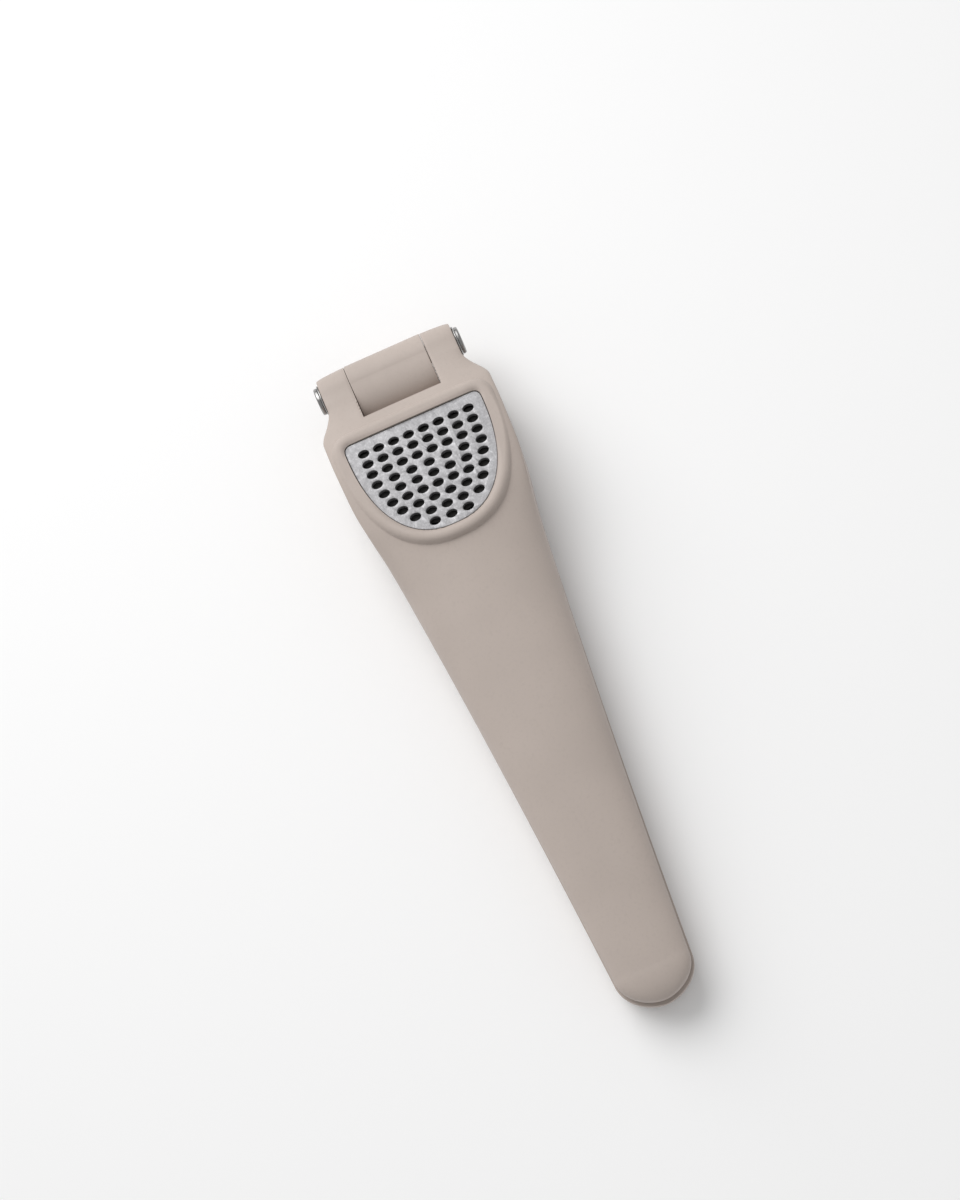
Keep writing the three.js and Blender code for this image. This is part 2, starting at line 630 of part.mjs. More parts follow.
// Screw holes through a cover, countersunk on the side of its face.
function coverHoles(face, up) {
  const holes = Object.values(coverScrewPlaces).map((x) => {
    const through = stud(COVER_SCREW_RADIUS + COVER_GAP, face - COVER_THICKNESS - CUT,
      face + COVER_THICKNESS + CUT, x);
    const depth = COVER_SCREW_HEAD_HEIGHT + COVER_GAP;
    const wide = COVER_SCREW_HEAD_RADIUS + COVER_GAP;
    const narrow = COVER_SCREW_RADIUS + COVER_GAP;
    const sink = up > 0
      ? stud(wide, face, face + depth, x, narrow)
      : stud(narrow, face - depth, face, x, wide);
    return joined(through, sink);
  });
  return joined(...holes);
}

function gripCover(face, up, extend) {
  const plate = coverPlate(face, face + up * COVER_THICKNESS, 0, extend);
  return without(plate, coverHoles(face, up));
}

// ---- The press ---------------------------------------------------------------------------
function finish(color, roughness, metalness) {
  return new THREE.MeshStandardMaterial({ color, roughness, metalness });
}

const taupe = () => finish(0xbdb2a6, 0.55, 0);
const castMetal = () => finish(0xcdccca, 0.5, 0.6);
const steel = () => finish(0xc8c8c8, 0.2, 1);
const acetal = () => finish(0xe8e6e0, 0.4, 0);
const darkCast = () => finish(0x2c2b2a, 0.5, 0.6);

const press = new THREE.Group();

function place(name, body, material) {
  const mesh = new THREE.Mesh(geometryOf(body), material);
  mesh.name = name;
  press.add(mesh);
}

place('sieve_lever', sieveLever(), taupe());
place('sieve_basket', sieveBasket(), castMetal());
place('sieve_grip_cover', gripCover(mouth, 1, 0), taupe());
place('presser_lever', presserLever(), taupe());
place('presser_grip_cover', gripCover(presserTop, -1, PRESSER_REVEAL), taupe());
for (const [where, x] of Object.entries(coverScrewPlaces)) {
  place(`sieve_cover_screw_${where}`, coverScrew(x, mouth, 1), steel());
  place(`presser_cover_screw_${where}`, coverScrew(x, presserTop, -1), steel());
}
place('plunger', plunger(), darkCast());
place('plunger_pin', plungerPin(), steel());
place('barrel_bush', barrelBush(), acetal());
place('hinge_sleeve', hingeSleeve(), steel());
place('hinge_screw', hingeScrew(), steel());
place('hinge_washer_left', washer(1), steel());
place('hinge_washer_right', washer(-1), steel());

const endX = GRIP_END_X + PRESSER_REVEAL;
press.position.set(-(endX - EAR_RADIUS) / 2, 0, -presserBack);

export default press;
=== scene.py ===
import json
import math

import bmesh
import bpy
import numpy as np
from mathutils import Euler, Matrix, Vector


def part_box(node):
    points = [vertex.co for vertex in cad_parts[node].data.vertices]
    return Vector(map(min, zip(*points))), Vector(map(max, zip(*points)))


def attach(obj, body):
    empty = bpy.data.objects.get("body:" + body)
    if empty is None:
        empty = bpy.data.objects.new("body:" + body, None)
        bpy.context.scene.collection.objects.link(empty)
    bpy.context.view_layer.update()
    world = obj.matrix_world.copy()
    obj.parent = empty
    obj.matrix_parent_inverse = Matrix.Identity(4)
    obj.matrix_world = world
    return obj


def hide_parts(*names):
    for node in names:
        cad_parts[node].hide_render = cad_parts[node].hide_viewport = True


bl_info = {
    "name": "Garlic Press",
    "version": (1, 0, 0),
    "blender": (4, 5, 0),
    "location": "View3D > Sidebar > Garlic Press",
    "description": "Soft-touch levers, cast sieve and plunger, polished hinge and a plain stage",
    "category": "Object",
}

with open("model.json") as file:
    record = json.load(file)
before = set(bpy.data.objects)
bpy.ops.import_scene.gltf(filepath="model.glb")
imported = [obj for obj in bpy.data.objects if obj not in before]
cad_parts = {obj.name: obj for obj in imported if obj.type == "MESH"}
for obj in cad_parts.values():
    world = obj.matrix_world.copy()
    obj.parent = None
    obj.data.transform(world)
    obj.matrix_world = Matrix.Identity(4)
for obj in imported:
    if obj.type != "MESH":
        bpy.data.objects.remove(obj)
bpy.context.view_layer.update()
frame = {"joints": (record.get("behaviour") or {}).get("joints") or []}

# Shapes are worked out in millimetres from the hinge axis: +X runs to the grips' tips, +Y is the
# press's left and +Z faces the sieve. settle() puts a finished mesh in the frame, in metres.
MM = 0.001
joints = {joint["name"]: joint for joint in frame["joints"]}
hinge = Vector(joints["lever_hinge"]["pos_m"])
pivot = (Vector(joints["plunger_tilt"]["pos_m"]) - hinge) / MM


def span(node):
    """Lowest and highest corner of a CAD node, in millimetres from the hinge axis."""
    low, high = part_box(node)
    return (low - hinge) / MM, (high - hinge) / MM


sieve_low, sieve_high = span("sieve_lever")
presser_low, presser_high = span("presser_lever")
basket_low, basket_high = span("sieve_basket")
cover_low, cover_high = span("sieve_grip_cover")
lower_cover_high = span("presser_grip_cover")[1]
bush_low, bush_high = span("barrel_bush")
sleeve_low, sleeve_high = span("hinge_sleeve")
screw_low, screw_high = span("hinge_screw")
washer_low, washer_high = span("hinge_washer_left")
plunger_high = span("plunger")[1]
pin_low, pin_high = span("plunger_pin")

GAP = 0.3
FACE_GAP = 0.1
# How far a cutting shape runs past what it cuts, and a joined one stays inside it
CUT = 1
SUNK = 0.01
# Levers in plan
LEVER_END = sieve_high.x
REVEAL = presser_high.x - sieve_high.x
TIP_LENGTH = 8.6
TIP_START = LEVER_END - TIP_LENGTH
TIP_HALF = 9.9
TIP_FULLNESS = 1.1
HEAD_HALF = 23.15
ROOT_HALF = 20.1
GRIP_FLARE = 2.2
HEAD_FULLNESS = 0.75
FULLNESS_BACK = 15
FULLNESS_REACH = 9
EAR_RADIUS = -sieve_low.x
EAR_SPAN = washer_low.y - FACE_GAP
BARREL_HALF = bush_high.y + FACE_GAP
SIDE_GAP = 0.35
SLOT_HALF = BARREL_HALF + SIDE_GAP
SLOT_END = 11.4
SHOULDER_LENGTH = 9.4
SHOULDER_BLEND = 0.5
NECK_FACE = SLOT_END - SIDE_GAP
NECK_INNER_ROUND = 0.8
NECK_SWEEP = 3.2
NECK_TANGENT = 0.2
WIDE_START = 7.0
WIDE_CORNER = 4.0
# Levers from the side
MOUTH = sieve_low.z
RIM_TOP = sieve_high.z
RIM_PROUD = 1.3
HEAD_TOP = RIM_TOP - RIM_PROUD
EAR_DROP = 1.3
GRIP_TOP = HEAD_TOP - 0.6
GRIP_BULGE = 0.5
GRIP_TIP_TOP = -1.2
LEVER_TOP = lower_cover_high.z
LEVER_BACK = presser_low.z
COVER_THICKNESS = cover_high.z - cover_low.z
COVER_LEDGE = 1.2
CROWN = 2.6
UNDERSIDE_CROWN = 9
HEAD_EDGE = 2.4
EDGE_GROWTH = 0.25
CROWN_BLEND = 11
SIEVE_SIDE_SHARE = 0.45
PRESSER_SIDE_SHARE = 0.35
LAND_SHARE = 0.42
# Opening, a D whose flat side faces the hinge
FLANGE_REACH = 1.4
FLANGE_HEIGHT = 1.5
FLAT_X = basket_low.x + FLANGE_REACH
ARCH_X = basket_high.x - FLANGE_REACH
OPENING_HALF = basket_high.y - FLANGE_REACH
D_POWER = 2.35
D_CORNER = 2.3
SMALLEST_CORNER = 0.6
RIM_WIDTH = 3.2
RIM_FALL = 6
RIM_REACH = 6
RIM_END = ARCH_X + RIM_WIDTH
SHOULDER_END = FLAT_X - RIM_WIDTH
FLOOR_TOP = basket_high.z
FLOOR_THICKNESS = 1.8
CHAMBER_TOP = FLOOR_TOP - FLOOR_THICKNESS
BASKET_WALL = 1.2
BASKET_PLAY = 0.09
HOLES_IN_ROW = (8, 8, 8, 7, 7, 7, 6, 5, 3)
FIRST_ROW_INSET = 3.75
LAST_ROW_INSET = 2.75
FIRST_ROW = FLAT_X + FIRST_ROW_INSET
LAST_ROW = ARCH_X - LAST_ROW_INSET
# Round pieces
PIN_RADIUS = (pin_high.x - pin_low.x) / 2
BUSH_RADIUS = bush_high.x
BOLT_RADIUS = 2.5
BORE_RADIUS = BOLT_RADIUS + GAP
SCREW_RADIUS = 1.45
PIVOT_BOSS = 3.1
POST_IN = 4.1
POST_OUT = pin_high.y
LUG_HALF = 3.6
FOOT_SPREAD = 1.6
# Plunger and the sieve's holes
PLUNGER_HEIGHT = 7.0
PLUNGER_BAND = 3.5
PLUNGER_FACE = 2.4
PLUNGER_PLAY = (0.6, 1.2, 0.8)
SKIRT_STEP = 1.2
PLUNGER_WALL = 2.0
HOLE_HALF_LENGTH = 1.05
HOLE_HALF_WIDTH = 1.5
HOLE_EDGE = 2.2
WIDE_ROW_EDGE = 2.95
# Screws
BOSS_BORE = 1.4
BOSS_DEPTH = 5.5
SCREW_HEAD_RADIUS = 2.4
SINK_RADIUS = 2.72
CROSS_ARM = 0.55
CROSS_LENGTH = 2.7
SCREW_BODY_RADIUS = 1.1
SCREW_HEAD_HEIGHT = 1.2
SOCKET_RADIUS = 1.4


class PressSizes(bpy.types.PropertyGroup):
    """Roundings and fine details that the levers' main sizes leave open."""

    rim_inside: bpy.props.FloatProperty(
        name="Rim inside", description="Rounding of the rim towards the sieve",
        default=0.0013, min=0.0004, max=0.0015, unit="LENGTH", precision=5)
    rim_outside: bpy.props.FloatProperty(
        name="Rim outside", description="Rounding of the rim away from the sieve",
        default=0.0016, min=0.0005, max=0.0017, unit="LENGTH", precision=5)
    rim_blend: bpy.props.FloatProperty(
        name="Rim blend", description="Height over which the rim flows into the head",
        default=0.0012, min=0.0002, max=0.0012, unit="LENGTH", precision=5)
    ear_edge: bpy.props.FloatProperty(
        name="Ear edge", description="Rounding of the ears towards their outer faces",
        default=0.0009, min=0.0004, max=0.0012, unit="LENGTH", precision=5)
    slot_edge: bpy.props.FloatProperty(
        name="Slot edge", description="Rounding of the edges beside the barrel",
        default=0.0005, min=0.0003, max=0.001, unit="LENGTH", precision=5)
    side_play: bpy.props.FloatProperty(
        name="Side play", description="Gap between the barrel and each ear",
        default=0.00012, min=0.0001, max=0.00035, unit="LENGTH", precision=5)
    parting_edge: bpy.props.FloatProperty(
        name="Parting edge", description="Rounding of the levers' edges that face each other",
        default=0.0006, min=0.0002, max=0.001, unit="LENGTH", precision=5)
    hole_edge: bpy.props.FloatProperty(
        name="Hole edge", description="How far the sieve's holes open out at their mouths",
        default=0.00006, min=0.00005, max=0.0003, unit="LENGTH", precision=5)
    machined_edge: bpy.props.FloatProperty(
        name="Machined edge", description="Small bevel on pins, washers, covers and screws",
        default=0.00015, min=0.00005, max=0.0002, unit="LENGTH", precision=5)


class PressColours(bpy.types.PropertyGroup):
    """Base colours of the finishes."""

    soft_touch: bpy.props.FloatVectorProperty(
        name="Soft-touch coat", description="Warm taupe of both levers and their covers",
        default=(0.462, 0.397, 0.357), min=0, max=1, size=3, subtype="COLOR")
    cast_metal: bpy.props.FloatVectorProperty(
        name="Cast metal", description="Light grey of the sieve basket",
        default=(0.348, 0.344, 0.352), min=0, max=1, size=3, subtype="COLOR")
    steel: bpy.props.FloatVectorProperty(
        name="Polished steel", description="Hinge bolt, washers, screws and the plunger's pin",
        default=(0.34, 0.335, 0.33), min=0, max=1, size=3, subtype="COLOR")
    # Painted shade: the plunger's near-black colour stands in for the shade seen through the sieve's holes,
    # so that the holes read dark.
    dark_cast: bpy.props.FloatVectorProperty(
        name="Dark cast", description="Near-black anodised finish of the plunger",
        default=(0.022, 0.021, 0.020), min=0, max=1, size=3, subtype="COLOR")
    acetal: bpy.props.FloatVectorProperty(
        name="Acetal", description="Natural white of the barrel's bush",
        default=(0.78, 0.76, 0.70), min=0, max=1, size=3, subtype="COLOR")
    floor: bpy.props.FloatVectorProperty(
        name="Floor", description="Plain floor under the press",
        default=(0.945, 0.945, 0.945), min=0, max=1, size=3, subtype="COLOR")


def size_of(name):
    """A size of the property group, in millimetres."""
    return getattr(bpy.context.scene.press_sizes, name) / MM


def colour_of(name):
    return tuple(getattr(bpy.context.scene.press_colours, name))


# ---- Meshes --------------------------------------------------------------------------------
def ring(bm, points):
    """A closed ring of edges through the points."""
    verts = bmesh.ops.create_circle(bm, cap_ends=False, segments=len(points), radius=1)["verts"]
    for vert, point in zip(verts, points):
        vert.co = point
    return verts


def edges_round(verts):
    """The edges between neighbours in a ring."""
    edges = []
    for vert, following in zip(verts, [*verts[1:], verts[0]]):
        edges.append(next(e for e in vert.link_edges if e.other_vert(vert) is following))
    return edges


def carried(bm, verts, points):
    """Extrudes a ring and moves the new one onto the points."""
    geom = bmesh.ops.extrude_edge_only(bm, edges=edges_round(verts))["geom"]
    fresh = {item for item in geom if isinstance(item, bmesh.types.BMVert)}
    moved = []
    for vert, point in zip(verts, points):
        copy = next(e.other_vert(vert) for e in vert.link_edges if e.other_vert(vert) in fresh)
        copy.co = point
        moved.append(copy)
    return moved


def lofted(rings):
    """A closed body through rings that all have the same number of points."""
    bm = bmesh.new()
    verts = ring(bm, rings[0])
    first = verts
    for points in rings[1:]:
        verts = carried(bm, verts, points)
    for end in (first, verts):
        bmesh.ops.contextual_create(bm, geom=edges_round(end))
    bmesh.ops.recalc_face_normals(bm, faces=bm.faces)
    return bm


def rounded_edge(edge, steps):
    """Insets and depths of a quarter-round edge, from its face to its side."""
    turns = [math.pi / 2 * i / steps for i in range(steps + 1)]
    return [(edge * (1 - math.sin(t)), edge * (1 - math.cos(t))) for t in turns]


def slab(outline, low, high, low_edge=0.0, high_edge=0.0, steps=4):
    """A plan outline raised between two heights, both edges rounded; outline(inset) gives it."""
    rings = []
    for inset, depth in rounded_edge(low_edge, steps) if low_edge else [(0, 0)]:
        rings.append([(x, y, low + depth) for x, y in outline(inset)])
    for inset, depth in reversed(rounded_edge(high_edge, steps) if high_edge else [(0, 0)]):
        rings.append([(x, y, high - depth) for x, y in outline(inset)])
    return lofted(rings)


def across(profile, right, left, edge=0.0, steps=3):
    """A side profile of (x, z) points run across the press, its two end edges rounded."""
    bm = lofted([[(x, y, z) for x, z in profile] for y in (right, left)])
    if edge:
        ends = [e for e in bm.edges if abs(e.verts[0].co.y - e.verts[1].co.y) < 1e-6]
        bmesh.ops.bevel(bm, geom=ends, offset=edge, segments=steps, profile=0.5,
                        affect="EDGES", material=-1)
    return bm


def turned(profile, axis="Y", steps=64, x=0.0, z=0.0):
    """A round body from (radius, place) pairs, turned about Y or Z; both ends close on the axis."""
    bm = bmesh.new()
    points = [(r, a, 0) if axis == "Y" else (r, 0, a) for r, a in profile]
    verts = [bmesh.ops.create_vert(bm, co=p)["vert"][0] for p in points]
    edges = []
    for one, two in zip(verts, verts[1:]):
        edges += bmesh.ops.contextual_create(bm, geom=[one, two])["edges"]
    bmesh.ops.spin(bm, geom=[*verts, *edges], cent=(0, 0, 0), angle=2 * math.pi, steps=steps,
                   axis=(0, 1, 0) if axis == "Y" else (0, 0, 1), use_merge=True)
    bmesh.ops.remove_doubles(bm, verts=bm.verts, dist=1e-5)
    bmesh.ops.translate(bm, vec=(x, 0, z), verts=bm.verts)
    bmesh.ops.recalc_face_normals(bm, faces=bm.faces)
    return bm


def rod(radius, right, left, x=0.0, z=0.0, steps=64):
    """A plain round rod along Y, for cutting bores."""
    return turned([(0, right), (radius, right), (radius, left), (0, left)], "Y", steps, x, z)


def stud(radius, low, high, x, steps=48):
    """A plain round stud along Z."""
    return turned([(0, low), (radius, low), (radius, high), (0, high)], "Z", steps, x)


def gathered(shapes):
    """Separate bodies in one mesh."""
    whole = bmesh.new()
    for shape in shapes:
        mesh = bpy.data.meshes.new("part")
        shape.to_mesh(mesh)
        shape.free()
        whole.from_mesh(mesh)
        bpy.data.meshes.remove(mesh)
    return whole


def carved(body, added=(), cuts=()):
    """The body with some shapes joined to it and others cut out of it."""
    scratch = []
    for shape in (body, *added, *cuts):
        mesh = bpy.data.meshes.new("scratch")
        shape.to_mesh(mesh)
        shape.free()
        tool = bpy.data.objects.new("scratch", mesh)
        bpy.context.scene.collection.objects.link(tool)
        scratch.append(tool)
    for i, tool in enumerate(scratch[1:]):
        modifier = scratch[0].modifiers.new("Boolean", "BOOLEAN")
        modifier.solver = "MANIFOLD"
        modifier.operation = "UNION" if i < len(added) else "DIFFERENCE"
        modifier.object = tool
    solid = scratch[0].evaluated_get(bpy.context.evaluated_depsgraph_get())
    result = bmesh.new()
    result.from_mesh(solid.to_mesh())
    solid.to_mesh_clear()
    for tool in scratch:
        mesh = tool.data
        bpy.data.objects.remove(tool)
        bpy.data.meshes.remove(mesh)
    if not result.faces:
        raise RuntimeError("a boolean left nothing of the body")
    return result


def settle(name, bm, finish, body, node, sharp=32):
    """Puts a finished mesh in the frame as the piece that stands for a CAD node."""
    bmesh.ops.dissolve_degenerate(bm, dist=1e-4, edges=bm.edges)
    bmesh.ops.triangulate(bm, faces=[f for f in bm.faces if len(f.verts) > 4])
    bmesh.ops.scale(bm, vec=(MM, MM, MM), verts=bm.verts)
    bmesh.ops.translate(bm, vec=hinge, verts=bm.verts)
    mesh = bpy.data.meshes.new(name)
    bm.to_mesh(mesh)
    bm.free()
    mesh.shade_smooth()
    mesh.set_sharp_from_angle(angle=math.radians(sharp))
    mesh.materials.clear()
    mesh.materials.append(finish)
    piece = bpy.data.objects.new(name, mesh)
    bpy.context.scene.collection.objects.link(piece)
    weighted = piece.modifiers.new("Weighted Normal", "WEIGHTED_NORMAL")
    weighted.keep_sharp = True
    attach(piece, body)
    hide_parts(node)
    return piece


# ---- Outlines ------------------------------------------------------------------------------
def smoothstep(start, end, x):
    t = min(1.0, max(0.0, (x - start) / (end - start)))
    return t * t * (3 - 2 * t)


def mixed(a, b, share):
    return a + (b - a) * share


def dome(share, power=CROWN):
    """A superellipse's height over 0 to 1 of its half-width."""
    return (1 - np.clip(share, 0, 1) ** power) ** (1 / power)


def tip_share(x, reveal=0.0):
    """How full the rounded tip is, from 1 where it begins to 0 at its end."""
    along = (x - TIP_START - reveal / 2) / (TIP_LENGTH + reveal / 2)
    return math.sqrt(max(0.0, 1 - max(0.0, along) ** 2))


def half_width(x, reveal=0.0):
    """Half-width of a lever."""
    tip_x = TIP_START + reveal / 2
    tip_half = TIP_HALF + reveal / 2
    if x > tip_x:
        return tip_half * tip_share(x, reveal) ** TIP_FULLNESS
    share = (tip_x - x) / (tip_x - RIM_END)
    grip = tip_half + share * (ROOT_HALF - tip_half - GRIP_FLARE + GRIP_FLARE * share)
    grip += HEAD_FULLNESS * math.exp(-(((x - RIM_END + FULLNESS_BACK) / FULLNESS_REACH) ** 2))
    widened = smoothstep(SHOULDER_END - SHOULDER_LENGTH, SHOULDER_END, x)
    shoulder = mixed(EAR_SPAN, HEAD_HALF, widened)
    near = max(0.0, SHOULDER_BLEND - abs(shoulder - grip)) / SHOULDER_BLEND
    return min(shoulder, grip) - near * near * SHOULDER_BLEND / 4


def flowing(places, heights):
    """A smooth line through some heights, level at its start."""
    slopes = np.gradient(heights, places)
    slopes[0] = 0

    def height(x):
        x = min(x, places[-1])
        i = int(np.clip(np.searchsorted(places, x) - 1, 0, len(places) - 2))
        length = places[i + 1] - places[i]
        t = (x - places[i]) / length
        start = heights[i] * (1 + 2 * t) * (1 - t) ** 2 + length * slopes[i] * t * (1 - t) ** 2
        end = heights[i + 1] * t * t * (3 - 2 * t) + length * slopes[i + 1] * t * t * (t - 1)
        return start + end

    return height


top_line = flowing(
    np.array([0, SLOT_END, SHOULDER_END, ARCH_X, RIM_END, (RIM_END + TIP_START) / 2, TIP_START]),
    np.array([EAR_RADIUS, HEAD_TOP - EAR_DROP, HEAD_TOP, (HEAD_TOP + GRIP_TOP) / 2, GRIP_TOP,
              (GRIP_TOP + GRIP_TIP_TOP) / 2 + GRIP_BULGE, GRIP_TIP_TOP]),
)


def d_points(grow, count=200, flat_grow=None, arch_grow=None):
    """The D with evenly spaced points, grown all round, or by its own amount at each end."""
    flat_x = FLAT_X - (grow if flat_grow is None else flat_grow)
    half = OPENING_HALF + grow
    corner = max(SMALLEST_CORNER, D_CORNER + grow / 2)
    start = flat_x + corner
    reach = ARCH_X + (grow if arch_grow is None else arch_grow) - start
    bend = np.linspace(0, 1, 9)
    right = [(flat_x + corner * t * t, -half + corner * (1 - t) ** 2) for t in bend]
    turns = np.linspace(-math.pi / 2, math.pi / 2, 161)[1:-1]
    arch = [(start + reach * math.cos(t) ** (2 / D_POWER),
             half * math.copysign(abs(math.sin(t)) ** (2 / D_POWER), t)) for t in turns]
    left = [(x, -y) for x, y in reversed(right)]
    path = np.array([*right, *arch, *left, right[0]])
    lengths = np.concatenate([[0], np.cumsum(np.hypot(*np.diff(path, axis=0).T))])
    stops = np.linspace(0, lengths[-1], count, endpoint=False)
    return list(zip(np.interp(stops, lengths, path[:, 0]), np.interp(stops, lengths, path[:, 1])))


rim_line = np.array(d_points(0, 400))


def beyond_opening(x, y):
    """Distance of points outside the opening's edge, negative inside it."""
    points = np.stack([np.full_like(y, x), y], 1)
    start, end = rim_line, np.roll(rim_line, -1, 0)
    along = end - start
    offset = points[:, None] - start
    t = np.clip((offset * along).sum(2) / (along * along).sum(1), 0, 1)
    nearest = np.hypot(*np.moveaxis(offset - t[..., None] * along, 2, 0)).min(1)
    crossing = (start[:, 1] > y[:, None]) != (end[:, 1] > y[:, None])
    run = along[:, 1] + (along[:, 1] == 0)
    edge_x = start[:, 0] + (y[:, None] - start[:, 1]) * along[:, 0] / run
    inside = (crossing & (x < edge_x)).sum(1) % 2 == 1
    return np.where(inside, -nearest, nearest)


def quarter_drop(radius, distance):
    """How far a rounded edge falls, at a distance in from where it ends."""
    left = np.clip(radius - distance, 0, radius)
    return radius - np.sqrt(radius**2 - left**2)


# ---- Finishes ------------------------------------------------------------------------------
def new_finish(name):
    """A material with its shader and the object's own coordinates."""
    material = bpy.data.materials.new(name)
    material.use_nodes = True
    tree = material.node_tree
    place = tree.nodes.new("ShaderNodeTexCoord").outputs["Object"]
    return material, tree, tree.nodes["Principled BSDF"], place


def grain(tree, place, size, detail=3.0, roughness=0.5, stretch=None):
    """Noise whose blots are about size millimetres across."""
    if stretch:
        mapping = tree.nodes.new("ShaderNodeMapping")
        mapping.inputs["Scale"].default_value = stretch
        tree.links.new(place, mapping.inputs["Vector"])
        place = mapping.outputs["Vector"]
    noise = tree.nodes.new("ShaderNodeTexNoise")
    noise.inputs["Scale"].default_value = 1 / (size * MM)
    noise.inputs["Detail"].default_value = detail
    noise.inputs["Roughness"].default_value = roughness
    tree.links.new(place, noise.inputs["Vector"])
    return noise.outputs["Fac"]


def ranged(tree, value, low, high, start=0.3, end=0.7):
    """A value spread between low and high."""
    node = tree.nodes.new("ShaderNodeMapRange")
    for name, number in (("From Min", start), ("From Max", end), ("To Min", low), ("To Max", high)):
        node.inputs[name].default_value = number
    tree.links.new(value, node.inputs["Value"])
    return node.outputs["Result"]


def blended(tree, share, first, second):
    """One colour turning into another; either may be a colour or another node's output."""
    node = tree.nodes.new("ShaderNodeMix")
    node.data_type = "RGBA"
    tree.links.new(share, node.inputs["Factor"])
    for socket, colour in ((node.inputs[6], first), (node.inputs[7], second)):
        if isinstance(colour, tuple):
            socket.default_value = (*colour, 1)
        else:
            tree.links.new(colour, socket)
    return node.outputs[2]


def relief(tree, height, depth, strength=1.0, under=None):
    """A bump of the given depth in millimetres, over another one."""
    node = tree.nodes.new("ShaderNodeBump")
    node.inputs["Strength"].default_value = strength
    node.inputs["Distance"].default_value = depth * MM
    tree.links.new(height, node.inputs["Height"])
    if under:
        tree.links.new(under, node.inputs["Normal"])
    return node.outputs["Normal"]


def shade(colour, factor):
    return tuple(min(1.0, channel * factor) for channel in colour)


def soft_touch_finish():
    """Matt elastomer coat: very fine orange peel, faint clouds of tone and paler handled patches."""
    if "soft_touch_coat" in bpy.data.materials:
        return bpy.data.materials["soft_touch_coat"]
    material, tree, shader, place = new_finish("soft_touch_coat")
    colour = colour_of("soft_touch")
    clouds = ranged(tree, grain(tree, place, 22, 2), 0, 1)
    tone = blended(tree, clouds, shade(colour, 0.965), shade(colour, 1.03))
    specks = ranged(tree, grain(tree, place, 0.9, 4, 0.65), 0, 0.5, 0.52, 0.72)
    tone = blended(tree, specks, tone, shade(colour, 0.9))
    rubs = ranged(tree, grain(tree, place, 9, 3, 0.6, (0.35, 1, 1)), 0, 0.35, 0.56, 0.74)
    tone = blended(tree, rubs, tone, shade(colour, 1.07))
    tree.links.new(tone, shader.inputs["Base Color"])
    sheen_spots = grain(tree, place, 5, 4, 0.6)
    tree.links.new(ranged(tree, sheen_spots, 0.5, 0.64), shader.inputs["Roughness"])
    peel = relief(tree, grain(tree, place, 0.55, 2), 0.012, 0.6)
    tree.links.new(relief(tree, grain(tree, place, 6, 1), 0.03, 0.4, peel), shader.inputs["Normal"])
    shader.inputs["Specular IOR Level"].default_value = 0.35
    shader.inputs["Sheen Weight"].default_value = 0.08
    shader.inputs["Sheen Roughness"].default_value = 0.5
    return material


def cast_finish():
    """Tumbled casting: pale grey with a fine bright and dark speckle and small dimples."""
    if "speckled_casting" in bpy.data.materials:
        return bpy.data.materials["speckled_casting"]
    material, tree, shader, place = new_finish("speckled_casting")
    colour = colour_of("cast_metal")
    tone = blended(tree, ranged(tree, grain(tree, place, 7, 3), 0, 1), shade(colour, 0.94), colour)
    bright = ranged(tree, grain(tree, place, 0.5, 3, 0.6), 0, 0.75, 0.5, 0.66)
    tone = blended(tree, bright, tone, shade(colour, 1.28))
    dark = ranged(tree, grain(tree, place, 0.42, 3, 0.7, (1, 1.3, 1)), 0.6, 0, 0.34, 0.46)
    tone = blended(tree, dark, tone, shade(colour, 0.66))
    tree.links.new(tone, shader.inputs["Base Color"])
    tree.links.new(ranged(tree, grain(tree, place, 1.2, 4), 0.36, 0.58), shader.inputs["Roughness"])
    dimples = relief(tree, grain(tree, place, 0.4, 3, 0.6), 0.022, 0.6)
    tree.links.new(relief(tree, grain(tree, place, 4, 2), 0.012, 0.4, dimples), shader.inputs["Normal"])
    shader.inputs["Metallic"].default_value = 0.6
    return material


def steel_finish():
    """Polished stainless steel with turned lines, faint smears and a few fine pits."""
    if "bright_steel" in bpy.data.materials:
        return bpy.data.materials["bright_steel"]
    material, tree, shader, place = new_finish("bright_steel")
    colour = colour_of("steel")
    smears = ranged(tree, grain(tree, place, 2.5, 4, 0.6), 0, 1)
    tone = blended(tree, smears, shade(colour, 0.9), shade(colour, 1.06))
    tree.links.new(tone, shader.inputs["Base Color"])
    tree.links.new(ranged(tree, grain(tree, place, 1.1, 4), 0.16, 0.32), shader.inputs["Roughness"])
    lines = grain(tree, place, 0.12, 2, 0.5, (1, 6, 1))
    tree.links.new(relief(tree, lines, 0.004, 0.5), shader.inputs["Normal"])
    shader.inputs["Metallic"].default_value = 1
    return material


def painted_shade_plunger_finish():
    """Painted shade on the plunger: near-black so that the sieve's holes read dark, with a fine matt grain
    and paler worn flecks.
    """
    if "anodised_casting" in bpy.data.materials:
        return bpy.data.materials["anodised_casting"]
    material, tree, shader, place = new_finish("anodised_casting")
    colour = colour_of("dark_cast")
    clouds = ranged(tree, grain(tree, place, 6, 3), 0, 1)
    tone = blended(tree, clouds, shade(colour, 0.8), shade(colour, 1.25))
    flecks = ranged(tree, grain(tree, place, 0.45, 3, 0.6), 0, 0.6, 0.58, 0.7)
    tone = blended(tree, flecks, tone, shade(colour, 2.6))
    tree.links.new(tone, shader.inputs["Base Color"])
    tree.links.new(ranged(tree, grain(tree, place, 1.5, 4), 0.42, 0.6), shader.inputs["Roughness"])
    tree.links.new(relief(tree, grain(tree, place, 0.3, 3), 0.02, 0.6), shader.inputs["Normal"])
    shader.inputs["Metallic"].default_value = 0.35
    return material


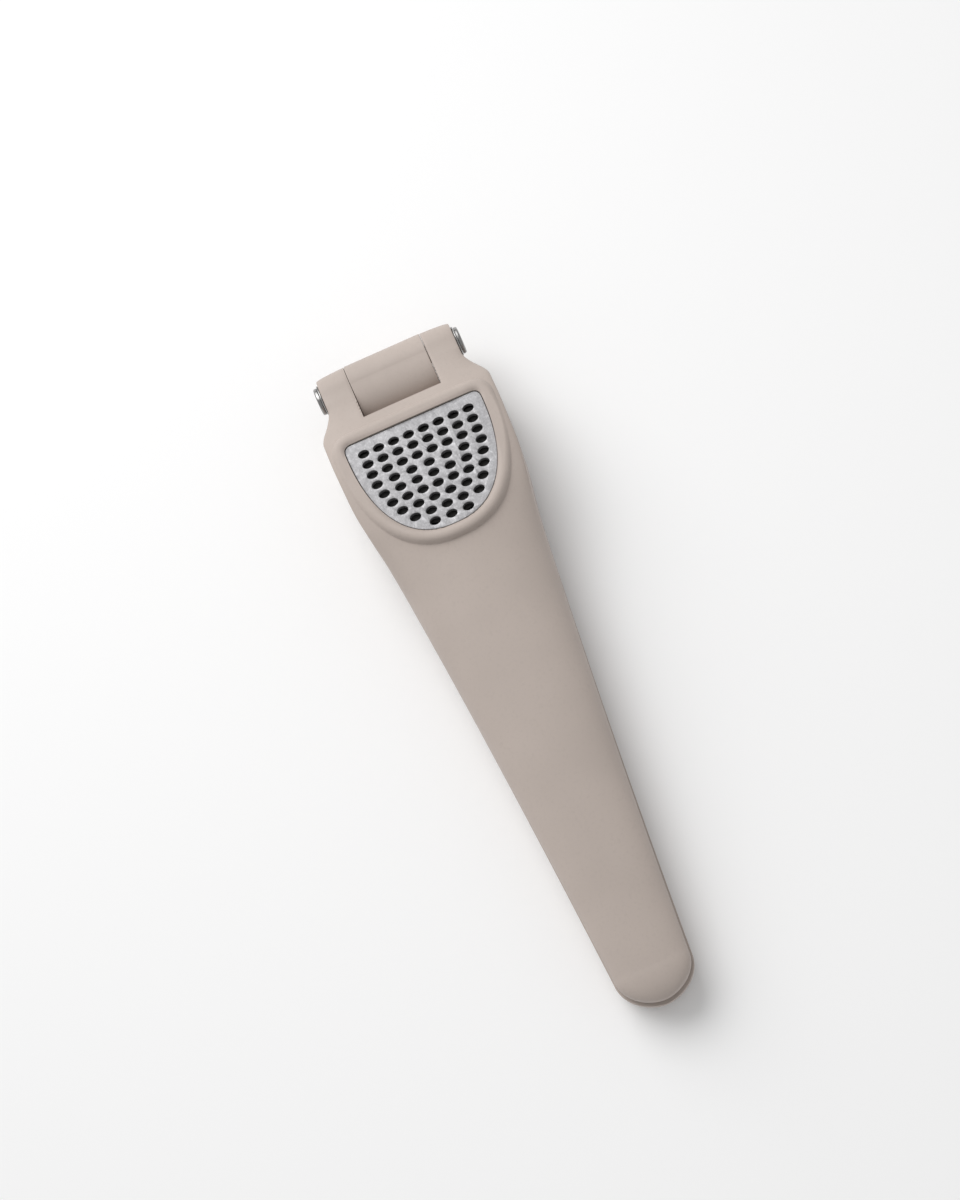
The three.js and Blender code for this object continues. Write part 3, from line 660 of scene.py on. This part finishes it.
def acetal_finish():
    """Natural acetal: waxy white with faint flow marks."""
    if "waxy_acetal" in bpy.data.materials:
        return bpy.data.materials["waxy_acetal"]
    material, tree, shader, place = new_finish("waxy_acetal")
    colour = colour_of("acetal")
    flow = ranged(tree, grain(tree, place, 4, 3, 0.5, (1, 0.3, 1)), 0, 1)
    tree.links.new(blended(tree, flow, shade(colour, 0.93), colour), shader.inputs["Base Color"])
    tree.links.new(ranged(tree, grain(tree, place, 0.8, 3), 0.32, 0.46), shader.inputs["Roughness"])
    tree.links.new(relief(tree, grain(tree, place, 0.5, 2), 0.01, 0.4), shader.inputs["Normal"])
    return material


# ---- Levers --------------------------------------------------------------------------------
TOP_STEPS = 150
BASE_STEPS = 36
FINE = 0.36


def shares(steps):
    """Places across a section from 1 to -1, close together at its two edges."""
    turns = np.linspace(0, math.pi, steps + 1)
    return np.sign(np.cos(turns)) * np.abs(np.cos(turns)) ** (2 / CROWN)


def stations(start, tip_x, end):
    """Places along a lever, close together at its head and round its tip."""
    head = np.arange(start, RIM_END + RIM_REACH, FINE)
    grip = np.linspace(head[-1] + 1, tip_x, 70)
    turns = np.linspace(0, math.pi / 2, 26)[1:]
    tip = tip_x + (end - tip_x) * np.sin(turns)
    tip[-1] = end - 0.01
    return [*head, *grip, *tip]


def shoulder_line(x):
    """Height at which the sieve lever's side wall turns into its crown."""
    low = sieve_underside(x)
    top = top_line(max(0.0, x))
    boxy = top - max(size_of("ear_edge"), min(HEAD_EDGE, EDGE_GROWTH * x))
    domed = mixed(low, top, SIEVE_SIDE_SHARE)
    return mixed(boxy, domed, smoothstep(RIM_END - CROWN_BLEND, RIM_END + CROWN_BLEND, x))


def sieve_underside(x):
    return mixed(-EAR_RADIUS, MOUTH, min(1.0, max(0.0, x) / SLOT_END))


def rim_height(beyond):
    """Height of the rounded rim at a distance outside the opening."""
    inside, outside = size_of("rim_inside"), size_of("rim_outside")
    height = RIM_TOP - quarter_drop(inside, np.maximum(0, beyond))
    height = height - quarter_drop(outside, np.clip(RIM_WIDTH - beyond, 0, outside))
    return height - RIM_FALL * np.maximum(0, beyond - RIM_WIDTH)


def sieve_section(x):
    """One ring round the sieve lever: its top from left to right, then its underside back."""
    edge = size_of("ear_edge")
    if x < 0:
        thin = max(0.0, 1 - (EAR_RADIUS + x) / edge)
        reach = EAR_SPAN * (1 - thin**CROWN) ** (1 / CROWN)
        heights = []
        for steps, side in ((TOP_STEPS, 1), (BASE_STEPS, -1)):
            y = side * reach * shares(steps)
            radius = EAR_RADIUS - edge * (1 - dome(np.abs(y) / EAR_SPAN))
            heights.append((y, side * np.sqrt(np.maximum(0, radius**2 - x * x))))
        (y, top), (base_y, base) = heights
    else:
        half = half_width(x)
        y = half * shares(TOP_STEPS)
        base_y = -half * shares(BASE_STEPS)
        shoulder = shoulder_line(min(x, TIP_START))
        crown = mixed(shoulder, top_line(x), tip_share(x))
        top = shoulder + (crown - shoulder) * dome(np.abs(y) / half)
        if FLAT_X - RIM_REACH < x < RIM_END + RIM_REACH:
            rim = rim_height(beyond_opening(x, y))
            blend = size_of("rim_blend")
            near = np.clip(1 - np.abs(top - rim) / blend, 0, 1)
            top = np.minimum(RIM_TOP, np.maximum(top, rim) + near * near * blend / 4)
        power = mixed(CROWN, UNDERSIDE_CROWN, min(1.0, x / SLOT_END))
        lift = mixed(edge, size_of("parting_edge"), min(1.0, x / SLOT_END))
        base = sieve_underside(x) + min(lift, half / 3) * (1 - dome(np.abs(base_y) / half, power))
    aside = np.hypot(np.maximum(0, np.abs(y) - SLOT_HALF), max(0.0, x - SLOT_END))
    top = top - np.where(aside > 0, quarter_drop(size_of("slot_edge"), aside), 0)
    return [(x, a, b) for a, b in zip([*y, *base_y], [*top, *base])]


def cover_outline(grow, reveal):
    """Plan of a grip cover or, grown by the gap, of its recess."""
    start = cover_low.x - grow
    end = cover_high.x + grow
    places = [start, *np.linspace(start, TIP_START, 60)[1:], *np.linspace(TIP_START, end, 8)[1:]]
    side = [(x, half_width(x, reveal) - COVER_LEDGE + grow) for x in places]
    return [*side, *[(x, -y) for x, y in reversed(side)]]


def cover_screw_places():
    places = []
    for where in ("front", "rear"):
        low, high = span(f"sieve_cover_screw_{where}")
        places.append((low.x + high.x) / 2)
    return places


def sieve_lever_shape():
    ear_stations = [-EAR_RADIUS * math.cos(t) for t in np.linspace(0.015, math.pi / 2, 22)[:-1]]
    body = lofted([sieve_section(x) for x in [*ear_stations, *stations(0, TIP_START, LEVER_END)]])
    far = 20
    slot = across([(-far, -far), (SLOT_END, -far), (SLOT_END, far), (-far, far)], -SLOT_HALF, SLOT_HALF)
    opening = slab(lambda inset: d_points(-inset), MOUTH - CUT, RIM_TOP + CUT)
    seat = slab(lambda inset: d_points(FLANGE_REACH + GAP - inset), MOUTH - CUT,
                MOUTH + FLANGE_HEIGHT + GAP)
    recess = slab(lambda inset: cover_outline(GAP, 0), MOUTH - CUT, MOUTH + COVER_THICKNESS + GAP)
    bore = rod(BORE_RADIUS, -EAR_SPAN - CUT, EAR_SPAN + CUT)
    screws = gathered([stud(BOSS_BORE, MOUTH, MOUTH + BOSS_DEPTH, x) for x in cover_screw_places()])
    return carved(body, cuts=(slot, opening, seat, recess, bore, screws))


def presser_section(x):
    """One ring round the presser lever's wide part: its flat top, then its rounded back."""
    half = half_width(x, REVEAL)
    half -= float(quarter_drop(WIDE_CORNER, x - WIDE_START))
    tip = tip_share(x, REVEAL)
    y = half * shares(TOP_STEPS)
    base_y = -half * shares(BASE_STEPS)
    shoulder = mixed(LEVER_TOP, LEVER_BACK, PRESSER_SIDE_SHARE)
    crown = mixed(shoulder, LEVER_BACK, tip)
    land = LAND_SHARE * half
    share = np.maximum(0, np.abs(y) - land) / (half - land)
    back = shoulder + (crown - shoulder) * dome(share)
    lift = min(size_of("parting_edge"), half / 3)
    top = LEVER_TOP - lift * (1 - dome(np.abs(base_y) / half, UNDERSIDE_CROWN))
    return [(x, a, b) for a, b in zip([*y, *base_y], [*back, *top])]


def bowed(start, pull, end, steps=18):
    """Points on a curve from start to end that leaves and arrives towards pull."""
    points = []
    for t in np.linspace(0, 1, steps + 1)[1:]:
        points.append(tuple(s * (1 - t) ** 2 + 2 * p * t * (1 - t) + e * t * t
                            for s, p, e in zip(start, pull, end)))
    return points


def neck_profile():
    """Side view of the barrel and the neck that bends down under the slot."""
    turns = np.linspace(NECK_TANGENT, -math.pi / 2, 40)
    outline = [(EAR_RADIUS * math.sin(t), EAR_RADIUS * math.cos(t)) for t in turns]
    sweep = NECK_FACE - NECK_SWEEP
    low = LEVER_BACK + SUNK
    outline += bowed(outline[-1], (-EAR_RADIUS, low), (sweep, low), 24)
    outline += [(x, low) for x in np.linspace(sweep + 1, SHOULDER_END, 6)]
    outline += [(SHOULDER_END, LEVER_TOP - SUNK), (NECK_FACE + NECK_INNER_ROUND, LEVER_TOP - SUNK)]
    outline += bowed((NECK_FACE + NECK_INNER_ROUND, LEVER_TOP), (NECK_FACE, LEVER_TOP),
                     (NECK_FACE, LEVER_TOP + NECK_INNER_ROUND), 4)
    outline += [(NECK_FACE, z) for z in np.linspace(LEVER_TOP + 1.4, -EAR_RADIUS / 2, 6)]
    outline += bowed(outline[-1], (NECK_FACE, EAR_RADIUS), outline[0], 16)[:-1]
    return outline


def arched(x, z, radius, foot_x, foot_z, steps=24):
    """A boss round the pivot that spreads to a foot, seen from the side."""
    up = 1 if foot_z < z else -1
    turns = np.linspace(0, math.pi, steps + 1)
    arch = [(x + radius * math.cos(t), z + up * radius * math.sin(t)) for t in turns]
    return [(x + foot_x, foot_z), *arch, (x - foot_x, foot_z)]


def presser_lever_shape():
    tip_x = TIP_START + REVEAL / 2
    end = LEVER_END + REVEAL
    body = lofted([presser_section(x) for x in stations(WIDE_START + 0.02, tip_x, end)])
    barrel_half = SLOT_HALF - size_of("side_play")
    neck = across(neck_profile(), -barrel_half, barrel_half, 0.25, 3)
    post = arched(pivot.x, pivot.z, PIVOT_BOSS, PIVOT_BOSS + FOOT_SPREAD, LEVER_TOP - 1)
    posts = gathered([across(post, POST_IN, POST_OUT, 0.35), across(post, -POST_OUT, -POST_IN, 0.35)])
    recess = slab(lambda inset: cover_outline(GAP, REVEAL), LEVER_TOP - COVER_THICKNESS - GAP,
                  LEVER_TOP + CUT)
    bore = rod(BUSH_RADIUS + GAP, -BARREL_HALF - CUT, BARREL_HALF + CUT)
    pivot_bore = rod(PIN_RADIUS + GAP, -POST_OUT - CUT, POST_OUT + CUT, pivot.x, pivot.z, 40)
    screws = gathered([stud(BOSS_BORE, LEVER_TOP - BOSS_DEPTH, LEVER_TOP, x) for x in cover_screw_places()])
    return carved(body, added=(neck, posts), cuts=(recess, bore, pivot_bore, screws))


# ---- Chamber -------------------------------------------------------------------------------
def sieve_hole(x, y):
    """An oval cutter with softly opened mouths at both faces of the sieve floor."""
    flare = size_of("hole_edge")
    heights = [(CHAMBER_TOP - 0.5, flare), (CHAMBER_TOP, flare), (CHAMBER_TOP + flare, 0),
               (FLOOR_TOP - 1.5 * flare, 0), (FLOOR_TOP - 0.4 * flare, 0.45 * flare),
               (FLOOR_TOP, 1.4 * flare), (FLOOR_TOP + 0.5, 1.4 * flare)]
    turns = np.linspace(0, 2 * math.pi, 28, endpoint=False)
    return lofted([[(x + (HOLE_HALF_LENGTH + grow) * math.cos(t),
                     y + (HOLE_HALF_WIDTH + grow) * math.sin(t), z)
                    for t in turns] for z, grow in heights])


def chamber_half(x, inset):
    centre = FLAT_X + D_CORNER
    along = max(0.0, x - centre) / (ARCH_X - inset - centre)
    return (OPENING_HALF - inset) * max(0.0, 1 - along**D_POWER) ** (1 / D_POWER)


def sieve_basket_shape():
    inner = GAP + BASKET_WALL
    cup = slab(lambda inset: d_points(-BASKET_PLAY - inset), MOUTH + 0.2, FLOOR_TOP, 0, 0.22)
    flange = slab(lambda inset: d_points(FLANGE_REACH - inset), MOUTH, MOUTH + FLANGE_HEIGHT, 0.2, 0.2)
    chamber = slab(lambda inset: d_points(-inner - inset), MOUTH - CUT, CHAMBER_TOP, 0, 0.6)
    holes = []
    for row, count in enumerate(HOLES_IN_ROW):
        x = mixed(FIRST_ROW, LAST_ROW, row / (len(HOLES_IN_ROW) - 1))
        half = min(OPENING_HALF - inner - WIDE_ROW_EDGE, chamber_half(x, inner) - HOLE_EDGE)
        holes += [sieve_hole(x, half * y) for y in np.linspace(-1, 1, count)]
    return carved(cup, added=(flange,), cuts=(chamber, gathered(holes)))


def plunger_shape():
    inner = GAP + BASKET_WALL

    def plan(step):
        def outline(inset):
            side, flat, arch = (-inner - play - step - inset for play in PLUNGER_PLAY)
            return d_points(side, 160, flat, arch)

        return outline

    face = plunger_high.z
    back = face - PLUNGER_HEIGHT
    band = slab(plan(0), face - PLUNGER_BAND, face, 0.35, 0.35)
    skirt = slab(plan(SKIRT_STEP), back, face - PLUNGER_BAND + 0.5, 0.5, 0)
    cavity = slab(plan(SKIRT_STEP + PLUNGER_WALL), back - CUT, face - PLUNGER_FACE, 0, 1.0)
    eye = arched(pivot.x, pivot.z, PIVOT_BOSS, PIVOT_BOSS + FOOT_SPREAD, face - PLUNGER_FACE / 2)
    lug = across(eye, -LUG_HALF, LUG_HALF, 0.35)
    top, foot = face - PLUNGER_FACE + 0.2, face - PLUNGER_FACE - 0.7
    pips = []
    for y in (-5.5, 5.5):
        for x in (FLAT_X + 8, FLAT_X + 17):
            pip = turned([(0, foot), (1.4, foot), (1.1, top), (0, top)], "Z", 24, x)
            bmesh.ops.translate(pip, vec=(0, y, 0), verts=pip.verts)
            pips.append(pip)
    bore = rod(PIN_RADIUS + GAP, -LUG_HALF - CUT, LUG_HALF + CUT, pivot.x, pivot.z, 40)
    hollow = carved(band, added=(skirt,), cuts=(cavity,))
    return carved(hollow, added=(lug, gathered(pips)), cuts=(bore,))


# ---- Round pieces --------------------------------------------------------------------------
def tube_profile(outer, inner, right, left, edge):
    """Half-section of a tube with small bevels, as one closed run of points."""
    return [(inner, right), (outer - edge, right), (outer, right + edge), (outer, left - edge),
            (outer - edge, left), (inner, left), (inner, right)]


def washer_shape(node):
    low, high = span(node)
    edge = size_of("machined_edge")
    return turned(tube_profile(high.x, BORE_RADIUS, low.y, high.y, edge))


def bush_shape():
    return turned(tube_profile(BUSH_RADIUS, BORE_RADIUS, bush_low.y, bush_high.y, 0.2))


def head_profile(face, end, radius):
    """Half-section of a polished bolt head, from its centre round to its inner face."""
    dome_edge = 0.45
    away = 1 if end > face else -1
    points = [(0, end), (radius - 0.75, end - away * 0.02)]
    for t in np.linspace(0, math.pi / 2, 6):
        fall = 0.04 + dome_edge * (1 - math.cos(t))
        points.append((radius - dome_edge * (1 - math.sin(t)), end - away * fall))
    points += [(radius, face + away * 0.1), (radius - 0.1, face)]
    return points


def hinge_sleeve_shape():
    face = -washer_high.y - FACE_GAP
    profile = head_profile(face, sleeve_low.y, -sleeve_low.x)
    edge = size_of("machined_edge")
    profile += [(BOLT_RADIUS, face), (BOLT_RADIUS, sleeve_high.y - edge),
                (BOLT_RADIUS - edge, sleeve_high.y), (SCREW_RADIUS + GAP, sleeve_high.y),
                (SCREW_RADIUS + GAP, screw_low.y - 1), (0, screw_low.y - 1)]
    return turned(profile)


def hinge_screw_shape():
    face = washer_high.y + FACE_GAP
    profile = head_profile(face, screw_high.y, screw_high.x)
    edge = size_of("machined_edge")
    profile += [(SCREW_RADIUS, face), (SCREW_RADIUS, screw_low.y + edge),
                (SCREW_RADIUS - edge, screw_low.y), (0, screw_low.y)]
    bm = turned(profile)
    socket = bmesh.new()
    bmesh.ops.create_cone(socket, cap_ends=True, segments=6, radius1=SOCKET_RADIUS,
                          radius2=SOCKET_RADIUS, depth=2)
    quarter_turn = Euler((math.pi / 2, 0, 0)).to_matrix()
    bmesh.ops.rotate(socket, cent=(0, 0, 0), matrix=quarter_turn, verts=socket.verts)
    bmesh.ops.translate(socket, vec=(0, screw_high.y + 0.3, 0), verts=socket.verts)
    return carved(bm, cuts=(socket,))


def plunger_pin_shape():
    edge = size_of("machined_edge") * 2
    radius = PIN_RADIUS
    profile = [(0, pin_low.y), (radius - edge, pin_low.y), (radius, pin_low.y + edge),
               (radius, pin_high.y - edge), (radius - edge, pin_high.y), (0, pin_high.y)]
    return turned(profile, "Y", 48, pivot.x, pivot.z)


# ---- Covers and their screws ---------------------------------------------------------------
def cover_shape(node, reveal, up):
    low, high = span(node)
    edge, lip = 0.35, 0.1
    plate = slab(lambda inset: cover_outline(-inset, reveal), low.z, high.z,
                 edge if up > 0 else lip, lip if up > 0 else edge, 3)
    face = low.z if up > 0 else high.z
    sinks = []
    for x in cover_screw_places():
        profile = [(0, face - up), (SINK_RADIUS, face - up), (SINK_RADIUS, face),
                   (BOSS_BORE, face + up * 1.5), (BOSS_BORE, face + up * 3), (0, face + up * 3)]
        sinks.append(turned(profile, "Z", 48, x))
    return carved(plate, cuts=(gathered(sinks),))


def cover_screw_shape(node, up):
    """A countersunk screw with a cross recess."""
    low, high = span(node)
    head = low.z if up > 0 else high.z
    point = high.z if up > 0 else low.z
    x = (low.x + high.x) / 2
    edge = size_of("machined_edge")
    profile = [(0, head), (SCREW_HEAD_RADIUS - edge, head), (SCREW_HEAD_RADIUS, head + up * edge),
               (SCREW_BODY_RADIUS + 0.05, head + up * SCREW_HEAD_HEIGHT)]
    for i in range(5):
        start = head + up * (SCREW_HEAD_HEIGHT + 0.15 + i * 0.62)
        profile += [(SCREW_BODY_RADIUS, start), (0.9, start + up * 0.31)]
    profile += [(0.95, point - up * 0.5), (0, point)]
    screw = turned(profile, "Z", 40, x)
    arms = []
    for width, length in ((CROSS_ARM, CROSS_LENGTH), (CROSS_LENGTH, CROSS_ARM)):
        arm = bmesh.new()
        bmesh.ops.create_cube(arm, size=1)
        bmesh.ops.scale(arm, vec=(width, length, 1.3), verts=arm.verts)
        tip = [v for v in arm.verts if v.co.z * up > 0]
        bmesh.ops.scale(arm, vec=(0.6, 0.6, 1), verts=tip)
        bmesh.ops.translate(arm, vec=(x, 0, head), verts=arm.verts)
        arms.append(arm)
    return carved(screw, cuts=arms)


# ---- Operators -----------------------------------------------------------------------------
class PRESS_OT_sieve_lever(bpy.types.Operator):
    """Build the upper lever with its ears, rim and crowned grip"""

    bl_idname = "garlic_press.sieve_lever"
    bl_label = "Sieve Lever"

    def execute(self, context):
        settle("sieve_lever_body", sieve_lever_shape(), soft_touch_finish(), "sieve",
               "sieve_lever")
        return {"FINISHED"}


class PRESS_OT_sieve_basket(bpy.types.Operator):
    """Build the cast basket with its rows of oval holes"""

    bl_idname = "garlic_press.sieve_basket"
    bl_label = "Sieve Basket"

    def execute(self, context):
        settle("sieve_basket_casting", sieve_basket_shape(), cast_finish(), "sieve",
               "sieve_basket")
        return {"FINISHED"}


class PRESS_OT_presser_lever(bpy.types.Operator):
    """Build the lower lever with its barrel, neck and plunger posts"""

    bl_idname = "garlic_press.presser_lever"
    bl_label = "Presser Lever"

    def execute(self, context):
        settle("presser_lever_body", presser_lever_shape(), soft_touch_finish(), "presser",
               "presser_lever")
        return {"FINISHED"}


class PRESS_OT_plunger(bpy.types.Operator):
    """Build the hollow-backed plunger and the pin it tilts on"""

    bl_idname = "garlic_press.plunger"
    bl_label = "Plunger and Pin"

    def execute(self, context):
        # Painted shade: the plunger is near-black so that the sieve's holes read dark.
        settle("plunger_casting", plunger_shape(), painted_shade_plunger_finish(), "plunger_block",
               "plunger")
        settle("plunger_pin_rod", plunger_pin_shape(), steel_finish(), "presser",
               "plunger_pin")
        return {"FINISHED"}


class PRESS_OT_hinge(bpy.types.Operator):
    """Build the two halves of the hinge bolt, its washers and the barrel's bush"""

    bl_idname = "garlic_press.hinge"
    bl_label = "Hinge"

    def execute(self, context):
        settle("hinge_sleeve_bolt", hinge_sleeve_shape(), steel_finish(), "sieve",
               "hinge_sleeve")
        settle("hinge_socket_screw", hinge_screw_shape(), steel_finish(), "sieve",
               "hinge_screw")
        for side in ("left", "right"):
            node = f"hinge_washer_{side}"
            settle(f"washer_{side}", washer_shape(node), steel_finish(), "sieve",
                   node)
        settle("barrel_bush_tube", bush_shape(), acetal_finish(), "presser", "barrel_bush")
        return {"FINISHED"}


class PRESS_OT_covers(bpy.types.Operator):
    """Build the two covers that close the grips, and their screws"""

    bl_idname = "garlic_press.covers"
    bl_label = "Grip Covers and Screws"

    def execute(self, context):
        for lever, reveal, up in (("sieve", 0.0, 1), ("presser", REVEAL, -1)):
            node = f"{lever}_grip_cover"
            settle(f"{lever}_cover_plate", cover_shape(node, reveal, up), soft_touch_finish(), lever,
                   node)
            for where in ("front", "rear"):
                node = f"{lever}_cover_screw_{where}"
                settle(f"{lever}_screw_{where}", cover_screw_shape(node, up), steel_finish(), lever,
                       node)
        return {"FINISHED"}


class PRESS_OT_stage(bpy.types.Operator):
    """Lay the plain floor and set the lights and the camera"""

    bl_idname = "garlic_press.stage"
    bl_label = "Stage"

    def execute(self, context):
        scene = context.scene
        bm = bmesh.new()
        bmesh.ops.create_grid(bm, x_segments=1, y_segments=1, size=3)
        bmesh.ops.translate(bm, vec=(0, 0, -0.0001), verts=bm.verts)
        mesh = bpy.data.meshes.new("floor")
        bm.to_mesh(mesh)
        bm.free()
        material = bpy.data.materials.new("pale_floor")
        material.use_nodes = True
        shader = material.node_tree.nodes["Principled BSDF"]
        shader.inputs["Base Color"].default_value = (*colour_of("floor"), 1)
        shader.inputs["Roughness"].default_value = 0.9
        shader.inputs["Specular IOR Level"].default_value = 0.1
        mesh.materials.append(material)
        floor = bpy.data.objects.new("floor", mesh)
        scene.collection.objects.link(floor)

        world = bpy.data.worlds.new("studio")
        world.use_nodes = True
        background = world.node_tree.nodes["Background"]
        background.inputs["Color"].default_value = (1, 1, 1, 1)
        background.inputs["Strength"].default_value = 0.5
        scene.world = world

        sun = bpy.data.lights.new("window", "SUN")
        sun.energy = 1.42
        sun.angle = math.radians(55)
        sun_object = bpy.data.objects.new("window", sun)
        sun_object.rotation_euler = Vector((-1.0, -0.45, 0.9)).to_track_quat("Z", "Y").to_euler()
        scene.collection.objects.link(sun_object)

        lamp = bpy.data.lights.new("softbox", "AREA")
        lamp.shape = "DISK"
        lamp.size = 0.35
        lamp.energy = 0.72
        lamp_object = bpy.data.objects.new("softbox", lamp)
        lamp_object.location = (-0.28, -0.10, 0.42)
        lamp_object.rotation_euler = Vector((-0.22, -0.10, 0.42)).to_track_quat("Z", "Y").to_euler()
        scene.collection.objects.link(lamp_object)

        camera = bpy.data.cameras.new("camera")
        camera.sensor_width = 36
        camera.lens = 73.2
        camera.clip_start = 0.01
        camera_object = bpy.data.objects.new("camera", camera)
        camera_object.location = (0.1402, 0.0070, 0.6105)
        camera_object.rotation_euler = [math.radians(a) for a in (13.4445, 6.7934, 67.0521)]
        scene.collection.objects.link(camera_object)
        scene.camera = camera_object
        scene.view_settings.view_transform = "Standard"
        return {"FINISHED"}


class PRESS_PT_panel(bpy.types.Panel):
    """Sidebar panel with the press's sizes, colours and builders"""

    bl_idname = "PRESS_PT_panel"
    bl_label = "Garlic Press"
    bl_space_type = "VIEW_3D"
    bl_region_type = "UI"
    bl_category = "Garlic Press"

    def draw(self, context):
        layout = self.layout
        for group in (context.scene.press_sizes, context.scene.press_colours):
            column = layout.column()
            for name in group.__annotations__:
                column.prop(group, name)
        column = layout.column()
        for operator in BUILDERS:
            column.operator(operator.bl_idname)


BUILDERS = (
    PRESS_OT_sieve_lever,
    PRESS_OT_sieve_basket,
    PRESS_OT_presser_lever,
    PRESS_OT_plunger,
    PRESS_OT_hinge,
    PRESS_OT_covers,
    PRESS_OT_stage,
)
CLASSES = (PressSizes, PressColours, *BUILDERS, PRESS_PT_panel)


def register():
    for cls in CLASSES:
        bpy.utils.register_class(cls)
    bpy.types.Scene.press_sizes = bpy.props.PointerProperty(type=PressSizes)
    bpy.types.Scene.press_colours = bpy.props.PointerProperty(type=PressColours)


def unregister():
    del bpy.types.Scene.press_colours
    del bpy.types.Scene.press_sizes
    for cls in reversed(CLASSES):
        bpy.utils.unregister_class(cls)


def main():
    register()
    bpy.ops.garlic_press.sieve_lever()
    bpy.ops.garlic_press.sieve_basket()
    bpy.ops.garlic_press.presser_lever()
    bpy.ops.garlic_press.plunger()
    bpy.ops.garlic_press.hinge()
    bpy.ops.garlic_press.covers()
    bpy.ops.garlic_press.stage()


if __name__ == "__main__":
    main()
